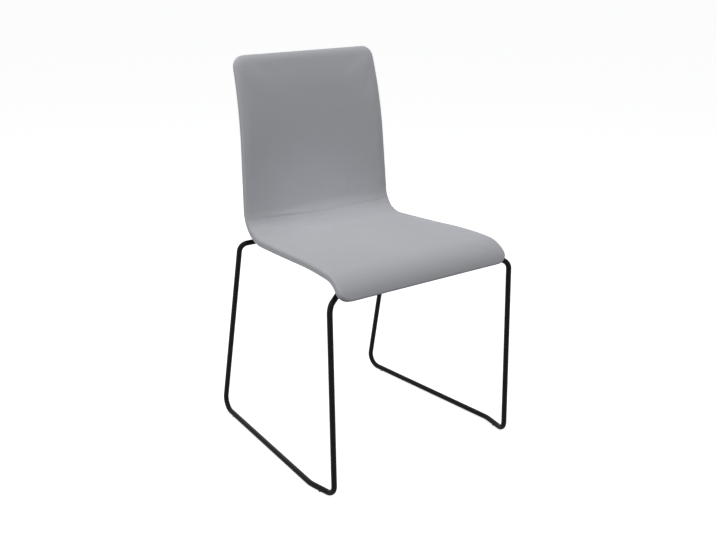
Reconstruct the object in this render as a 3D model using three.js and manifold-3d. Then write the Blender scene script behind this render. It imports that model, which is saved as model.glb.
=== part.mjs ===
// A visitor chair on a sled base. One thin, fully upholstered shell makes the seat and the back, and
// bends down over the front edge. Two bent steel rods, one at each side, are the legs and the runners.
// Under the seat the rods are welded to two cross bars, with two flat strips between these, and four
// screws hold the shell to the strips.
// Millimetres. The front of the chair faces -Y, the sitter's left is +X and the floor is at Z = 0.

import * as THREE from 'three';
import { mergeVertices } from 'three/addons/utils/BufferGeometryUtils.js';
import Module from 'manifold-3d';

const wasm = await Module();
wasm.setup();

// Driving dimensions of the whole chair.
const seatHeight = 471.3; // floor to the top face, where the seat begins behind the front bend
const seatStart = 51.9; // from the front feet back to that place
const rodDiameter = 12;
const touchGap = 0.3; // left between any two pieces that touch
const overrun = 4; // how far a cutting tool runs past what it cuts

// The shell's length, measured along its top and front face from the front edge to the top edge.
// Each stretch bends evenly, and a positive turn bends it upwards. Turns are in degrees.
const lipLength = 79.5;
const seatFrontLength = 118;
const seatRearLength = 166;
const bendLength = 80.3;
const lumbarLength = 130;
const upperBackLength = 214;
const seatPitch = 3.8; // upward slope at the place of the seat height
const lipTurn = -69.6;
const seatFrontTurn = -7;
const seatRearTurn = 1.3;
const bendTurn = 87.8;
const lumbarTurn = 0.25;
const upperBackTurn = -15.2;

// The shell's half widths, its corners and how far its middle lies behind or before its edges.
const frontHalfWidth = 222.4;
const rearHalfWidth = 198;
const topHalfWidth = 185.6;
const frontCornerRadius = 32;
const topCornerRadius = 29;
const backDish = 11; // the middle of the back lies this far behind its side edges
const padCrown = 3; // the padding is this much thicker in the middle of the seat and of the back

// The shell's layers, from the sitter's side to the back.
const coverThickness = 1;
const padThickness = 4.9;
const plyThickness = 9;
const backPadThickness = 1.4;
const frontEdgeRadius = 7; // rounding of the cover where it turns from the face to the edge
const rearEdgeRadius = 6;
const seamFromRear = 6.4; // the edge seam lies this far before the rear face
const plyInset = 2.5; // the plywood's edge lies this far inside the cover's edge

// The two bent rods. Places are those of the rod's centre line.
const frontFootHalfSpan = 240;
const toeHalfSpan = 252.7;
const rearFootHalfSpan = 220.1;
const toeLength = 70.1; // from the front foot back to the bend between toe and runner
const baseDepth = 493.5; // from the front foot back to the rear foot
const frontTopSetback = 10.8; // the front leg's top lies this far behind its foot
const frontTopClearance = 17.5; // from the shell's side edge out to the front leg's top
const rearTopClearance = 16.7; // from the shell's side edge out to the rear leg's top
const frontTopDrop = 25.3; // the front leg's top lies this far below the cross bars
const frontFootBend = 20;
const toeBend = 60;
const rearFootBend = 28;
const frontTopBend = 20;
const rearTopBend = 17;
const innerBend = 25;

// The cross bars and the flat strips between them.
const crossBarHalfLength = 100;
const innerBendLead = 20; // from the cross bar's end out to the bend of the rod
const rearBarSetback = 61.7; // from the end of the seat back to the rear bar
const stripWidth = 30;
const stripThickness = 4;
const stripInset = 7; // from the cross bar's end in to the strip's edge

// The four fixings between the strips and the shell.
const frontFixingSetback = 65; // from the place of the seat height back to the front screws
const frontBarLead = 20; // from the front screws forward to the front cross bar
const rearFixingInset = 28; // from the end of the seat forward to the rear screws
const shellClearance = 2.3; // from the strips up to the shell at the rear screws
const screwDiameter = 6;
const screwHeadDiameter = 10.5;
const screwHeadHeight = 3.3;
const screwSocketWidth = 4; // across the flats
const screwSocketDepth = 2;
const screwTipInset = 1; // the screw ends this far below the nut's face
const spacerDiameter = 20;
const nutBarrelDiameter = 9;
const nutBarrelLength = 7;
const nutFlangeDiameter = 18;
const nutFlangeThickness = 1.5;
const nutSink = 0.4; // the flange lies this far below the plywood's face

// The four glides under the runners.
const glideStand = 1; // the rods' height above the floor
const glideDiameter = 8;
const glideHeight = 2.6;
const glidePinDiameter = 4;
const glidePinLength = 5; // how far the pin reaches into the rod
const frontGlideShare = 0.58; // place of the front glide between the foot and the toe's bend
const rearGlideShare = 0.88; // place of the rear glide between the toe's bend and the rear foot

// How finely curved faces are divided. These are counts.
const rodSides = 12;
const stepsPerRightAngle = 6;
const columnCount = 8;
const cornerSteps = 5;
const roundingSteps = 2;
const smallRoundSides = 16;
const hexagonSides = 6;
const halvings = 50;
const lipSteps = 4;
const seatFrontSteps = 3;
const seatRearSteps = 3;
const bendSteps = 8;
const lumbarSteps = 2;
const upperBackSteps = 4;

// Values that follow from the driving dimensions.
const rodRadius = rodDiameter / 2;
const runnerHeight = glideStand + rodRadius;
const screwRadius = screwDiameter / 2;
const screwHoleRadius = screwRadius + touchGap;
const padFace = coverThickness + touchGap;
const padRear = padFace + padThickness;
const plyFace = padRear + touchGap;
const plyRear = plyFace + plyThickness;
const backPadFace = plyRear + touchGap;
const backPadRear = backPadFace + backPadThickness;
const backCoverFace = backPadRear + touchGap;
const shellThickness = backCoverFace + coverThickness;

const degrees = Math.PI / 180;

// The stretches of the shell's side view, in order from the front edge, with where each one starts.
const stretches = [
  { length: lipLength, turn: lipTurn, steps: lipSteps },
  { length: seatFrontLength, turn: seatFrontTurn, steps: seatFrontSteps },
  { length: seatRearLength, turn: seatRearTurn, steps: seatRearSteps },
  { length: bendLength, turn: bendTurn, steps: bendSteps },
  { length: lumbarLength, turn: lumbarTurn, steps: lumbarSteps },
  { length: upperBackLength, turn: upperBackTurn, steps: upperBackSteps },
];

// Moves on from a place along an even bend. The heading is measured from +Y towards +Z.
function alongBend(start, length, bendRate) {
  const heading = start.heading + bendRate * length;
  return {
    y: start.y + (Math.sin(heading) - Math.sin(start.heading)) / bendRate,
    z: start.z - (Math.cos(heading) - Math.cos(start.heading)) / bendRate,
    heading,
  };
}

let place = { y: 0, z: 0, heading: (seatPitch - lipTurn) * degrees };
let run = 0;
for (const stretch of stretches) {
  stretch.bendRate = (stretch.turn * degrees) / stretch.length;
  stretch.start = place;
  stretch.startRun = run;
  place = alongBend(place, stretch.length, stretch.bendRate);
  run += stretch.length;
}
const shellLength = run;
const [lip, seatFront, , bend, lumbar] = stretches;
const seatShift = { y: seatStart - seatFront.start.y, z: seatHeight - seatFront.start.z };
for (const stretch of stretches) {
  const { y, z, heading } = stretch.start;
  stretch.start = { y: y + seatShift.y, z: z + seatShift.z, heading };
}

// The place and heading of the shell's face at a run from the front edge.
function faceAt(faceRun) {
  const stretch = stretches.findLast((item) => item.startRun <= faceRun) ?? lip;
  return alongBend(stretch.start, faceRun - stretch.startRun, stretch.bendRate);
}

// The half width of the shell at a run from the front edge.
function halfWidthAt(faceRun) {
  if (faceRun < bend.startRun) {
    return THREE.MathUtils.lerp(frontHalfWidth, rearHalfWidth, faceRun / bend.startRun);
  }
  const share = (faceRun - lumbar.startRun) / (shellLength - lumbar.startRun);
  return THREE.MathUtils.lerp(rearHalfWidth, topHalfWidth, Math.max(share, 0));
}

// A smooth rise and fall between two runs, zero outside them.
function swellAt(faceRun, from, to) {
  const share = THREE.MathUtils.clamp((faceRun - from) / (to - from), 0, 1);
  return Math.sin(Math.PI * share);
}

// A point inside the shell: x, the run from the front edge, the depth behind the face, and the share
// of the padding's crown that the point follows.
function shellPoint(x, faceRun, depth, crownShare) {
  const { y, z, heading } = faceAt(faceRun);
  const acrossShare = 1 - (x / halfWidthAt(faceRun)) ** 2;
  const dish = backDish * swellAt(faceRun, bend.startRun, shellLength);
  const seatSwell = swellAt(faceRun, 0, bend.startRun);
  const backSwell = swellAt(faceRun, lumbar.startRun, shellLength);
  const crown = padCrown * crownShare * (seatSwell + backSwell);
  const total = depth + (dish - crown) * acrossShare;
  return new THREE.Vector3(x, y + Math.sin(heading) * total, z - Math.cos(heading) * total);
}

// The rows of the shell's outline for a layer drawn in by an inset: a run and a half width for each.
function outlineRows(inset) {
  const rows = [];
  const frontRadius = frontCornerRadius - inset;
  for (let i = 0; i < cornerSteps; i++) {
    const angle = (i / cornerSteps) * (Math.PI / 2);
    const rowRun = inset + frontRadius * (1 - Math.cos(angle));
    const half = halfWidthAt(rowRun) - inset - frontRadius * (1 - Math.sin(angle));
    rows.push({ run: rowRun, half });
  }
  for (const stretch of stretches) {
    const from = Math.max(stretch.startRun, frontCornerRadius);
    const to = Math.min(stretch.startRun + stretch.length, shellLength - topCornerRadius);
    for (let i = 0; i < stretch.steps; i++) {
      const rowRun = from + ((to - from) * i) / stretch.steps;
      rows.push({ run: rowRun, half: halfWidthAt(rowRun) - inset });
    }
  }
  const topRadius = topCornerRadius - inset;
  for (let i = 0; i <= cornerSteps; i++) {
    const angle = (i / cornerSteps) * (Math.PI / 2);
    const rowRun = shellLength - inset - topRadius * (1 - Math.sin(angle));
    const half = halfWidthAt(rowRun) - inset - topRadius * (1 - Math.cos(angle));
    rows.push({ run: rowRun, half });
  }
  return rows;
}

// Gives the points of one level of a layer, row by row. The points between the edges are at the same
// places in every layer, so that layers on each other stay evenly apart.
function levelPoints({ inset, depth, crown }) {
  const points = [];
  for (const row of outlineRows(inset)) {
    const middleHalf = halfWidthAt(row.run) - Math.max(frontCornerRadius, topCornerRadius);
    for (let i = 0; i <= columnCount; i++) {
      const share = (2 * i) / columnCount - 1;
      const x = share * (Math.abs(share) === 1 ? row.half : middleHalf);
      points.push(shellPoint(x, row.run, depth, crown));
    }
  }
  return points;
}

// The places in a level's list of points that make its outline, anticlockwise seen from the front.
function outlinePlaces(rowCount) {
  const across = columnCount + 1;
  const places = [];
  for (let i = 0; i < columnCount; i++) places.push(i);
  for (let j = 0; j < rowCount - 1; j++) places.push(j * across + columnCount);
  for (let i = columnCount; i > 0; i--) places.push((rowCount - 1) * across + i);
  for (let j = rowCount - 1; j > 0; j--) places.push(j * across);
  return places;
}

// One closed layer of the shell. The first and the last level are whole faces, and the levels
// between them are only rings round the edge. The squares of the two halves are parted along mirrored
// diagonals, and alike on all faces, so that layers on each other stay evenly apart.
function shellLayer(levels) {
  const rowCount = outlineRows(0).length;
  const outline = outlinePlaces(rowCount);
  const across = columnCount + 1;
  const points = [];
  const triangles = [];
  const rings = [];
  levels.forEach((level, index) => {
    const all = levelPoints(level);
    const isFace = index === 0 || index === levels.length - 1;
    const first = points.length;
    if (!isFace) {
      outline.forEach((item) => points.push(all[item]));
      rings.push(outline.map((item, k) => first + k));
      return;
    }
    points.push(...all);
    rings.push(outline.map((item) => first + item));
    for (let j = 0; j < rowCount - 1; j++) {
      for (let i = 0; i < columnCount; i++) {
        const a = first + j * across + i;
        const quad = [a, a + 1, a + across + 1, a + across];
        if (i >= columnCount / 2) quad.push(quad.shift());
        const [p, q, r, s] = quad;
        if (index === 0) triangles.push(p, q, r, p, r, s);
        else triangles.push(p, r, q, p, s, r);
      }
    }
  });
  for (let level = 0; level < rings.length - 1; level++) {
    const upper = rings[level];
    const lower = rings[level + 1];
    upper.forEach((a, k) => {
      const next = (k + 1) % upper.length;
      triangles.push(a, lower[k], lower[next], a, lower[next], upper[next]);
    });
  }
  const geometry = new THREE.BufferGeometry().setFromPoints(points);
  geometry.setIndex(triangles);
  return geometry;
}

// The levels that round a layer's edge from its face to its side, or from its side to its rear face.
function roundedLevels(edgeRadius, layerInset, faceDepth, sideDepth) {
  const levels = [];
  for (let i = 0; i <= roundingSteps; i++) {
    const angle = (i / roundingSteps) * (Math.PI / 2);
    levels.push({
      inset: edgeRadius - (edgeRadius - layerInset) * Math.sin(angle),
      depth: sideDepth + (faceDepth - sideDepth) * Math.cos(angle),
      crown: 1,
    });
  }
  return levels;
}

function withoutCrown(levels) {
  return levels.map((level) => ({ ...level, crown: 0 }));
}

// A level round the side at a depth, where the crown has no part.
function sideLevel(inset, depth) {
  return { inset, depth, crown: 0 };
}

// Solids for cutting and joining.
function toSolid(geometry) {
  const bare = new THREE.BufferGeometry();
  bare.setAttribute('position', geometry.getAttribute('position'));
  if (geometry.index) bare.setIndex(geometry.index);
  const merged = mergeVertices(bare);
  const vertProperties = Float32Array.from(merged.getAttribute('position').array);
  const triVerts = Uint32Array.from(merged.index.array);
  return new wasm.Manifold(new wasm.Mesh({ numProp: 3, vertProperties, triVerts }));
}

function toGeometry(solid) {
  const mesh = solid.getMesh();
  const geometry = new THREE.BufferGeometry();
  geometry.setAttribute('position', new THREE.BufferAttribute(mesh.vertProperties, 3));
  geometry.setIndex(new THREE.BufferAttribute(mesh.triVerts, 1));
  return geometry;
}

// An upright round bar between two heights at a place in plan.
function uprightBar(radius, from, to, centre) {
  const geometry = new THREE.CylinderGeometry(radius, radius, to - from, smallRoundSides);
  geometry.rotateX(Math.PI / 2);
  geometry.translate(centre.x, centre.y, (from + to) / 2);
  return geometry;
}

// A solid turned about an upright axis from a closed outline of [radius, height] pairs.
function turned(outline, centre, sides) {
  const points = outline.map(([radius, height]) => new THREE.Vector2(radius, height));
  const geometry = new THREE.LatheGeometry([...points, points[0]], sides);
  geometry.rotateX(Math.PI / 2);
  geometry.translate(centre.x, centre.y, 0);
  return geometry;
}

// A route of straight stretches and round bends, given as stations that a section is swept along.
class BentRoute extends THREE.Curve {
  constructor(corners, bendRadii) {
    super();
    this.stations = [corners[0]];
    for (let i = 1; i < corners.length - 1; i++) this.addBend(corners, i, bendRadii[i - 1]);
    this.stations.push(corners.at(-1));
  }

  addBend(corners, i, radius) {
    const corner = corners[i];
    const back = corners[i - 1].clone().sub(corner).normalize();
    const ahead = corners[i + 1].clone().sub(corner).normalize();
    const half = back.angleTo(ahead) / 2;
    const inwards = back.clone().add(ahead).normalize();
    const centre = corner.clone().addScaledVector(inwards, radius / Math.sin(half));
    const from = corner.clone().addScaledVector(back, radius / Math.tan(half)).sub(centre);
    const to = corner.clone().addScaledVector(ahead, radius / Math.tan(half)).sub(centre);
    const turn = from.angleTo(to);
    const steps = Math.max(2, Math.ceil((turn / (Math.PI / 2)) * stepsPerRightAngle));
    for (let k = 0; k <= steps; k++) {
      const share = k / steps;
      const spoke = from.clone().multiplyScalar(Math.sin((1 - share) * turn) / Math.sin(turn));
      spoke.addScaledVector(to, Math.sin(share * turn) / Math.sin(turn));
      this.stations.push(centre.clone().add(spoke));
    }
  }

  getPointAt(share) {
    const position = share * (this.stations.length - 1);
    const index = Math.min(Math.floor(position), this.stations.length - 2);
    return this.stations[index].clone().lerp(this.stations[index + 1], position - index);
  }

  getTangentAt(share) {
    const index = Math.round(share * (this.stations.length - 1));
    const ahead = this.stations[Math.min(index + 1, this.stations.length - 1)];
    const behind = this.stations[Math.max(index - 1, 0)];
    const onwards = ahead.clone().sub(this.stations[index]).normalize();
    const inwards = this.stations[index].clone().sub(behind).normalize();
    return onwards.add(inwards).normalize();
  }
}

function sweptRod(route) {
  const section = new THREE.Shape();
  for (let i = 0; i < rodSides; i++) {
    const angle = (i / rodSides) * 2 * Math.PI;
    const [x, y] = [rodRadius * Math.cos(angle), rodRadius * Math.sin(angle)];
    if (i === 0) section.moveTo(x, y);
    else section.lineTo(x, y);
  }
  section.closePath();
  const steps = route.stations.length - 1;
  return new THREE.ExtrudeGeometry(section, { extrudePath: route, steps, curveSegments: 1 });
}

// The run from the front edge at which the seat's face is over a place in plan, found by halving.
function seatRunOver(y) {
  let low = seatFront.startRun;
  let high = bend.startRun;
  for (let i = 0; i < halvings; i++) {
    const middle = (low + high) / 2;
    if (faceAt(middle).y < y) low = middle;
    else high = middle;
  }
  return low;
}

// The height of the shell, at a depth below its face, over a place in plan.
function shellHeightAt(y, depth) {
  return shellPoint(0, seatRunOver(y), depth, 0).z;
}

// Places and heights under the seat, from front to rear.

const seatEnd = bend.start.y;
const frontFixingY = seatStart + frontFixingSetback;
const rearFixingY = seatEnd - rearFixingInset;
const frontBarY = frontFixingY - frontBarLead;
const rearBarY = seatEnd + rearBarSetback;
const stripTop = shellHeightAt(rearFixingY, shellThickness) - shellClearance;
const barHeight = stripTop - stripThickness / 2;
const stripBottom = stripTop - stripThickness;
const stripHalfSpan = crossBarHalfLength - stripInset - stripWidth / 2;
const innerBendHalfSpan = crossBarHalfLength + innerBendLead;

// The sides of the chair. A side frame is modelled at +X and mirrored by the sign.
const sides = [
  { name: 'left', sign: 1 },
  { name: 'right', sign: -1 },
];
const fixings = [];
for (const side of sides) {
  for (const [end, y] of [['front', frontFixingY], ['rear', rearFixingY]]) {
    fixings.push({ name: `${end}_${side.name}`, x: side.sign * stripHalfSpan, y });
  }
}

// The heights of what is stacked at a fixing.
for (const fixing of fixings) {
  fixing.plyRearHeight = shellHeightAt(fixing.y, plyRear);
  fixing.nutTop = shellHeightAt(fixing.y, plyFace) - nutSink;
  fixing.nutFlangeBottom = fixing.nutTop - nutFlangeThickness;
}

// Materials, with the colours of the photographed chair.
const finishes = {
  cover: { color: 0xb2b3b8, roughness: 0.85, metalness: 0 },
  foam: { color: 0xe4dcc4, roughness: 1, metalness: 0 },
  plywood: { color: 0xc9a878, roughness: 0.7, metalness: 0 },
  frame: { color: 0x1e1e22, roughness: 0.45, metalness: 0.2 },
  hardware: { color: 0xb4b6ba, roughness: 0.35, metalness: 1 },
  plastic: { color: 0x1a1a1c, roughness: 0.6, metalness: 0 },
};

const chair = new THREE.Group();
const parts = new THREE.Group();
chair.add(parts);

function addPart(name, finish, geometry) {
  const plain = geometry.index ? geometry.toNonIndexed() : geometry;
  plain.computeVertexNormals();
  const mesh = new THREE.Mesh(plain, new THREE.MeshStandardMaterial(finishes[finish]));
  mesh.name = name;
  parts.add(mesh);
}

function cutAll(geometry, tools) {
  return tools.reduce((solid, tool) => solid.subtract(toSolid(tool)), toSolid(geometry));
}

// The shell from the sitter's side to the back.
function buildFrontCover() {
  const seamDepth = shellThickness - seamFromRear;
  const outside = roundedLevels(frontEdgeRadius, 0, 0, frontEdgeRadius);
  const inside = roundedLevels(frontEdgeRadius, coverThickness, coverThickness, frontEdgeRadius);
  const rim = [sideLevel(0, seamDepth), sideLevel(coverThickness, seamDepth)];
  return shellLayer([...outside, ...rim, ...inside.reverse()]);
}

function buildFrontPad() {
  const face = roundedLevels(frontEdgeRadius, padFace, padFace, frontEdgeRadius);
  return shellLayer([...face, sideLevel(padFace, padRear)]);
}

function buildPlywood() {
  const board = shellLayer([sideLevel(plyInset, plyFace), sideLevel(plyInset, plyRear)]);
  const tools = [];
  for (const fixing of fixings) {
    const pocketRadius = nutFlangeDiameter / 2 + touchGap;
    const pocketBottom = fixing.nutFlangeBottom - touchGap;
    tools.push(uprightBar(pocketRadius, pocketBottom, fixing.nutTop + overrun, fixing));
    const boreRadius = nutBarrelDiameter / 2 + touchGap;
    const boreBottom = fixing.plyRearHeight - overrun;
    tools.push(uprightBar(boreRadius, boreBottom, fixing.nutTop, fixing));
  }
  return toGeometry(cutAll(board, tools));
}

// The holes that the spacers pass through, in the padding and the cover under the seat.
function spacerHoles() {
  const radius = spacerDiameter / 2 + touchGap;
  return fixings.map((fixing) => {
    const top = fixing.plyRearHeight + overrun;
    return uprightBar(radius, top - 2 * overrun - shellThickness, top, fixing);
  });
}

function buildBackPad() {
  const sheet = [sideLevel(rearEdgeRadius, backPadFace), sideLevel(rearEdgeRadius, backPadRear)];
  return toGeometry(cutAll(shellLayer(sheet), spacerHoles()));
}

function buildBackCover() {
  const seamDepth = shellThickness - seamFromRear + touchGap;
  const sideDepth = shellThickness - rearEdgeRadius;
  const outside = roundedLevels(rearEdgeRadius, 0, shellThickness, sideDepth);
  const inside = roundedLevels(rearEdgeRadius, coverThickness, backCoverFace, sideDepth);
  const rim = [sideLevel(coverThickness, seamDepth), sideLevel(0, seamDepth)];
  const levels = withoutCrown([...inside, ...rim, ...outside.reverse()]);
  return toGeometry(cutAll(shellLayer(levels), spacerHoles()));
}

addPart('front_cover', 'cover', buildFrontCover());
addPart('seat_and_back_pad', 'foam', buildFrontPad());
addPart('plywood_shell', 'plywood', buildPlywood());
addPart('rear_lining', 'foam', buildBackPad());
addPart('rear_cover', 'cover', buildBackCover());

// The corners of a side rod's centre line, from its front end under the seat to its rear end.
function sideFrameCorners(sign) {
  const end = crossBarHalfLength + touchGap;
  const frontTopHalfSpan = frontHalfWidth + frontTopClearance;
  const rearTopHalfSpan = rearHalfWidth + rearTopClearance;
  return [
    [end, frontBarY, barHeight],
    [innerBendHalfSpan, frontBarY, barHeight],
    [frontTopHalfSpan, frontTopSetback, barHeight - frontTopDrop],
    [frontFootHalfSpan, 0, runnerHeight],
    [toeHalfSpan, toeLength, runnerHeight],
    [rearFootHalfSpan, baseDepth, runnerHeight],
    [rearTopHalfSpan, rearBarY, barHeight],
    [end, rearBarY, barHeight],
  ].map(([x, y, z]) => new THREE.Vector3(sign * x, y, z));
}

const sideBends = [innerBend, frontTopBend, frontFootBend, toeBend, rearFootBend, rearTopBend];

// A rod's stretch on the floor and the places of its glides.
function glidePlaces(side) {
  const corners = sideFrameCorners(side.sign);
  const [foot, toe, rear] = corners.slice(3, 6);
  return [
    { name: `front_${side.name}`, from: foot, to: toe, share: frontGlideShare },
    { name: `rear_${side.name}`, from: toe, to: rear, share: rearGlideShare },
  ].map((item) => ({ ...item, centre: item.from.clone().lerp(item.to, item.share) }));
}

function buildSideFrame(side) {
  const rod = sweptRod(new BentRoute(sideFrameCorners(side.sign), sideBends));
  const holeTop = glideStand + glidePinLength + touchGap;
  const tools = glidePlaces(side).map(({ centre }) =>
    uprightBar(glidePinDiameter / 2 + touchGap, glideStand - overrun, holeTop, centre));
  return toGeometry(cutAll(rod, tools));
}

function buildCrossBar(y) {
  const length = 2 * crossBarHalfLength;
  const bar = new THREE.CylinderGeometry(rodRadius, rodRadius, length, rodSides);
  bar.rotateZ(Math.PI / 2);
  bar.translate(0, y, barHeight);
  return bar;
}

function buildStrip(side) {
  const from = frontBarY + rodRadius + touchGap;
  const to = rearBarY - rodRadius - touchGap;
  const strip = new THREE.BoxGeometry(stripWidth, to - from, stripThickness);
  strip.translate(side.sign * stripHalfSpan, (from + to) / 2, barHeight);
  const holes = [frontFixingY, rearFixingY].map((y) => {
    const centre = { x: side.sign * stripHalfSpan, y };
    return uprightBar(screwHoleRadius, stripBottom - overrun, stripTop + overrun, centre);
  });
  return toGeometry(cutAll(strip, holes));
}

// A glide: a disc hollowed to the rod's shape, with a pin that is pushed into the rod.
function buildGlide({ centre, from, to }) {
  const disc = uprightBar(glideDiameter / 2, 0, glideHeight, centre);
  const along = to.clone().sub(from).normalize();
  const seatRadius = rodRadius + touchGap;
  const seat = new THREE.CylinderGeometry(seatRadius, seatRadius, 2 * glideDiameter, 2 * rodSides);
  const upright = new THREE.Vector3(0, 1, 0);
  seat.applyQuaternion(new THREE.Quaternion().setFromUnitVectors(upright, along));
  seat.translate(centre.x, centre.y, centre.z);
  const pinTop = glideStand + glidePinLength;
  const pin = uprightBar(glidePinDiameter / 2, glideStand / 2, pinTop, centre);
  return toGeometry(cutAll(disc, [seat]).add(toSolid(pin)));
}

for (const side of sides) {
  addPart(`side_frame_${side.name}`, 'frame', buildSideFrame(side));
  addPart(`mounting_strip_${side.name}`, 'frame', buildStrip(side));
  for (const glide of glidePlaces(side)) {
    addPart(`glide_${glide.name}`, 'plastic', buildGlide(glide));
  }
}
addPart('cross_bar_front', 'frame', buildCrossBar(frontBarY));
addPart('cross_bar_rear', 'frame', buildCrossBar(rearBarY));

// A spacer between strip and plywood, cut to the plywood's slope.
function buildSpacer(fixing) {
  const top = fixing.plyRearHeight + overrun;
  const bottom = stripTop + touchGap;
  const radius = spacerDiameter / 2;
  const outline = [
    [screwHoleRadius, bottom],
    [radius, bottom],
    [radius, top],
    [screwHoleRadius, top],
  ];
  const plywood = shellLayer([sideLevel(plyInset, plyFace), sideLevel(plyInset, plyRear + touchGap)]);
  return toGeometry(cutAll(turned(outline, fixing, smallRoundSides), [plywood]));
}

// A nut pressed into the plywood: a barrel with a flange on the padding's side.
function buildNut(fixing) {
  const bottom = fixing.nutTop - nutBarrelLength;
  const outline = [
    [screwHoleRadius, bottom],
    [nutBarrelDiameter / 2, bottom],
    [nutBarrelDiameter / 2, fixing.nutFlangeBottom],
    [nutFlangeDiameter / 2, fixing.nutFlangeBottom],
    [nutFlangeDiameter / 2, fixing.nutTop],
    [screwHoleRadius, fixing.nutTop],
  ];
  return turned(outline, fixing, smallRoundSides);
}

// A screw with a low round head and a hexagon socket.
function buildScrew(fixing) {
  const headTop = stripBottom - touchGap;
  const headBottom = headTop - screwHeadHeight;
  const headRadius = screwHeadDiameter / 2;
  const tip = fixing.nutTop - screwTipInset;
  const outline = [
    [0, headBottom],
    [screwSocketWidth, headBottom],
    [headRadius, headTop - screwHeadHeight / 3],
    [headRadius, headTop],
    [screwRadius, headTop],
    [screwRadius, tip],
    [0, tip],
  ];
  const socketRadius = screwSocketWidth / 2 / Math.cos(Math.PI / hexagonSides);
  const socketLength = screwSocketDepth + overrun;
  const socket = new THREE.CylinderGeometry(socketRadius, socketRadius, socketLength, hexagonSides);
  socket.rotateX(Math.PI / 2);
  socket.translate(fixing.x, fixing.y, headBottom + (screwSocketDepth - overrun) / 2);
  return toGeometry(cutAll(turned(outline, fixing, smallRoundSides), [socket]));
}

for (const fixing of fixings) {
  addPart(`spacer_${fixing.name}`, 'plastic', buildSpacer(fixing));
  addPart(`shell_nut_${fixing.name}`, 'hardware', buildNut(fixing));
  addPart(`shell_screw_${fixing.name}`, 'hardware', buildScrew(fixing));
}

// The origin is on the floor, at the middle of the chair's outer length.
const outerBox = new THREE.Box3().setFromObject(parts, true);
parts.position.y = -(outerBox.min.y + outerBox.max.y) / 2;

export default chair;
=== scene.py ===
"""Looks for a visitor chair on a sled base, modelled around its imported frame.

Lengths are in metres. The chair's front faces -Y, the sitter's left is +X and the floor is at Z = 0.
The shell is upholstered all over, so both of its covers are padded pieces. The steel base is modelled
with round rods, welds, strips, screws, spacers and glides.
"""

import logging
import math
from collections.abc import Callable, Iterable, Iterator
from contextlib import contextmanager
from dataclasses import astuple, dataclass, field
from enum import Enum

import bmesh
import bpy
import numpy as np
from bpy.types import Material, Mesh, Modifier, Node, NodeSocket, NodeTree, Object
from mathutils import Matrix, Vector, noise


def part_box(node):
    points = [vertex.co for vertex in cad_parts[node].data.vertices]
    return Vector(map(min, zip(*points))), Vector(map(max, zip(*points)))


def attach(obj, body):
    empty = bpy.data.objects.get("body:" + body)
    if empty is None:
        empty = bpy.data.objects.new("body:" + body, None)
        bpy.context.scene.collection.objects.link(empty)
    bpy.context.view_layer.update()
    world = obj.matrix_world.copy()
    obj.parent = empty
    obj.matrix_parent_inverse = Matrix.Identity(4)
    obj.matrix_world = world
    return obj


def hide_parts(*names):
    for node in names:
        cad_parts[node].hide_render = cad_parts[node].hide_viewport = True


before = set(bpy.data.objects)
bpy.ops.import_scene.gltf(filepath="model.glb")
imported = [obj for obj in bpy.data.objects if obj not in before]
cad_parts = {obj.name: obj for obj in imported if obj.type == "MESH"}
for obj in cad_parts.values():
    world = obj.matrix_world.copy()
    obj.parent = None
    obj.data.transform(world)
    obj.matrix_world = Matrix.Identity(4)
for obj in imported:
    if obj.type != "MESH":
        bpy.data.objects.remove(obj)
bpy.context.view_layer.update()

LOG = logging.getLogger("visitor_chair")
BODY = "root"
UP = Vector((0.0, 0.0, 1.0))
RIGHT_ANGLE = math.radians(90)
MERGE_DISTANCE = 0.000002
TOUCH_GAP = 0.0003
ALONG = 0.9  # a direction with more than this share along an axis lies along it
FLAT_PATTERN = "flat_pattern"
NUMBER = "NodeSocketFloat"
PLACE = "NodeSocketVector"


class Side(Enum):
    """A side of the chair, as the sitter names it, with the sign of its X."""

    LEFT = 1
    RIGHT = -1

    @property
    def word(self) -> str:
        """The side's name in node names."""
        return self.name.lower()


class End(Enum):
    """An end of the seat, with its word in node names."""

    FRONT = "front"
    REAR = "rear"


class Element(Enum):
    """The kinds of mesh element that can be picked in edit mode."""

    EDGE = "EDGE"
    FACE = "FACE"


class Cut(Enum):
    """How one closed body changes another."""

    AWAY = "DIFFERENCE"
    JOIN = "UNION"


def take(*pieces: Object) -> None:
    """Selects only the given pieces, or nothing, and makes the first one active.

    Args:
        pieces: The objects that the next operator acts on.
    """
    bpy.ops.object.select_all(action="DESELECT")
    for piece in pieces:
        piece.select_set(True)
    if pieces:
        bpy.context.view_layer.objects.active = pieces[0]


@contextmanager
def editing(piece: Object, picked: bool = False) -> Iterator[None]:
    """Opens one piece in edit mode, and closes it again.

    Args:
        piece: The mesh object to edit.
        picked: Whether all of it starts selected.
    """
    take(piece)
    bpy.ops.object.mode_set(mode="EDIT")
    bpy.ops.mesh.select_all(action="SELECT" if picked else "DESELECT")
    yield
    bpy.ops.object.mode_set(mode="OBJECT")
    take()


def pick(piece: Object, kind: Element, test: Callable[[Vector, Vector], bool]) -> None:
    """Selects only the faces or edges of the piece in edit mode that pass a test.

    Args:
        piece: The piece in edit mode.
        kind: The kind of element to look at.
        test: Takes a middle, and a face's normal or an edge's direction.
    """
    bpy.ops.mesh.select_mode(type=kind.value)
    bpy.ops.mesh.select_all(action="DESELECT")
    mesh = bmesh.from_edit_mesh(piece.data)
    if kind is Element.FACE:
        for face in mesh.faces:
            face.select_set(test(face.calc_center_median(), face.normal))
    else:
        for edge in mesh.edges:
            first, second = (vertex.co for vertex in edge.verts)
            edge.select_set(test((first + second) / 2, (second - first).normalized()))
    mesh.select_flush_mode()
    bmesh.update_edit_mesh(piece.data)


def faces_down(place: Vector, normal: Vector) -> bool:
    """Tests whether a face looks down."""
    return normal.z < -ALONG


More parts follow.
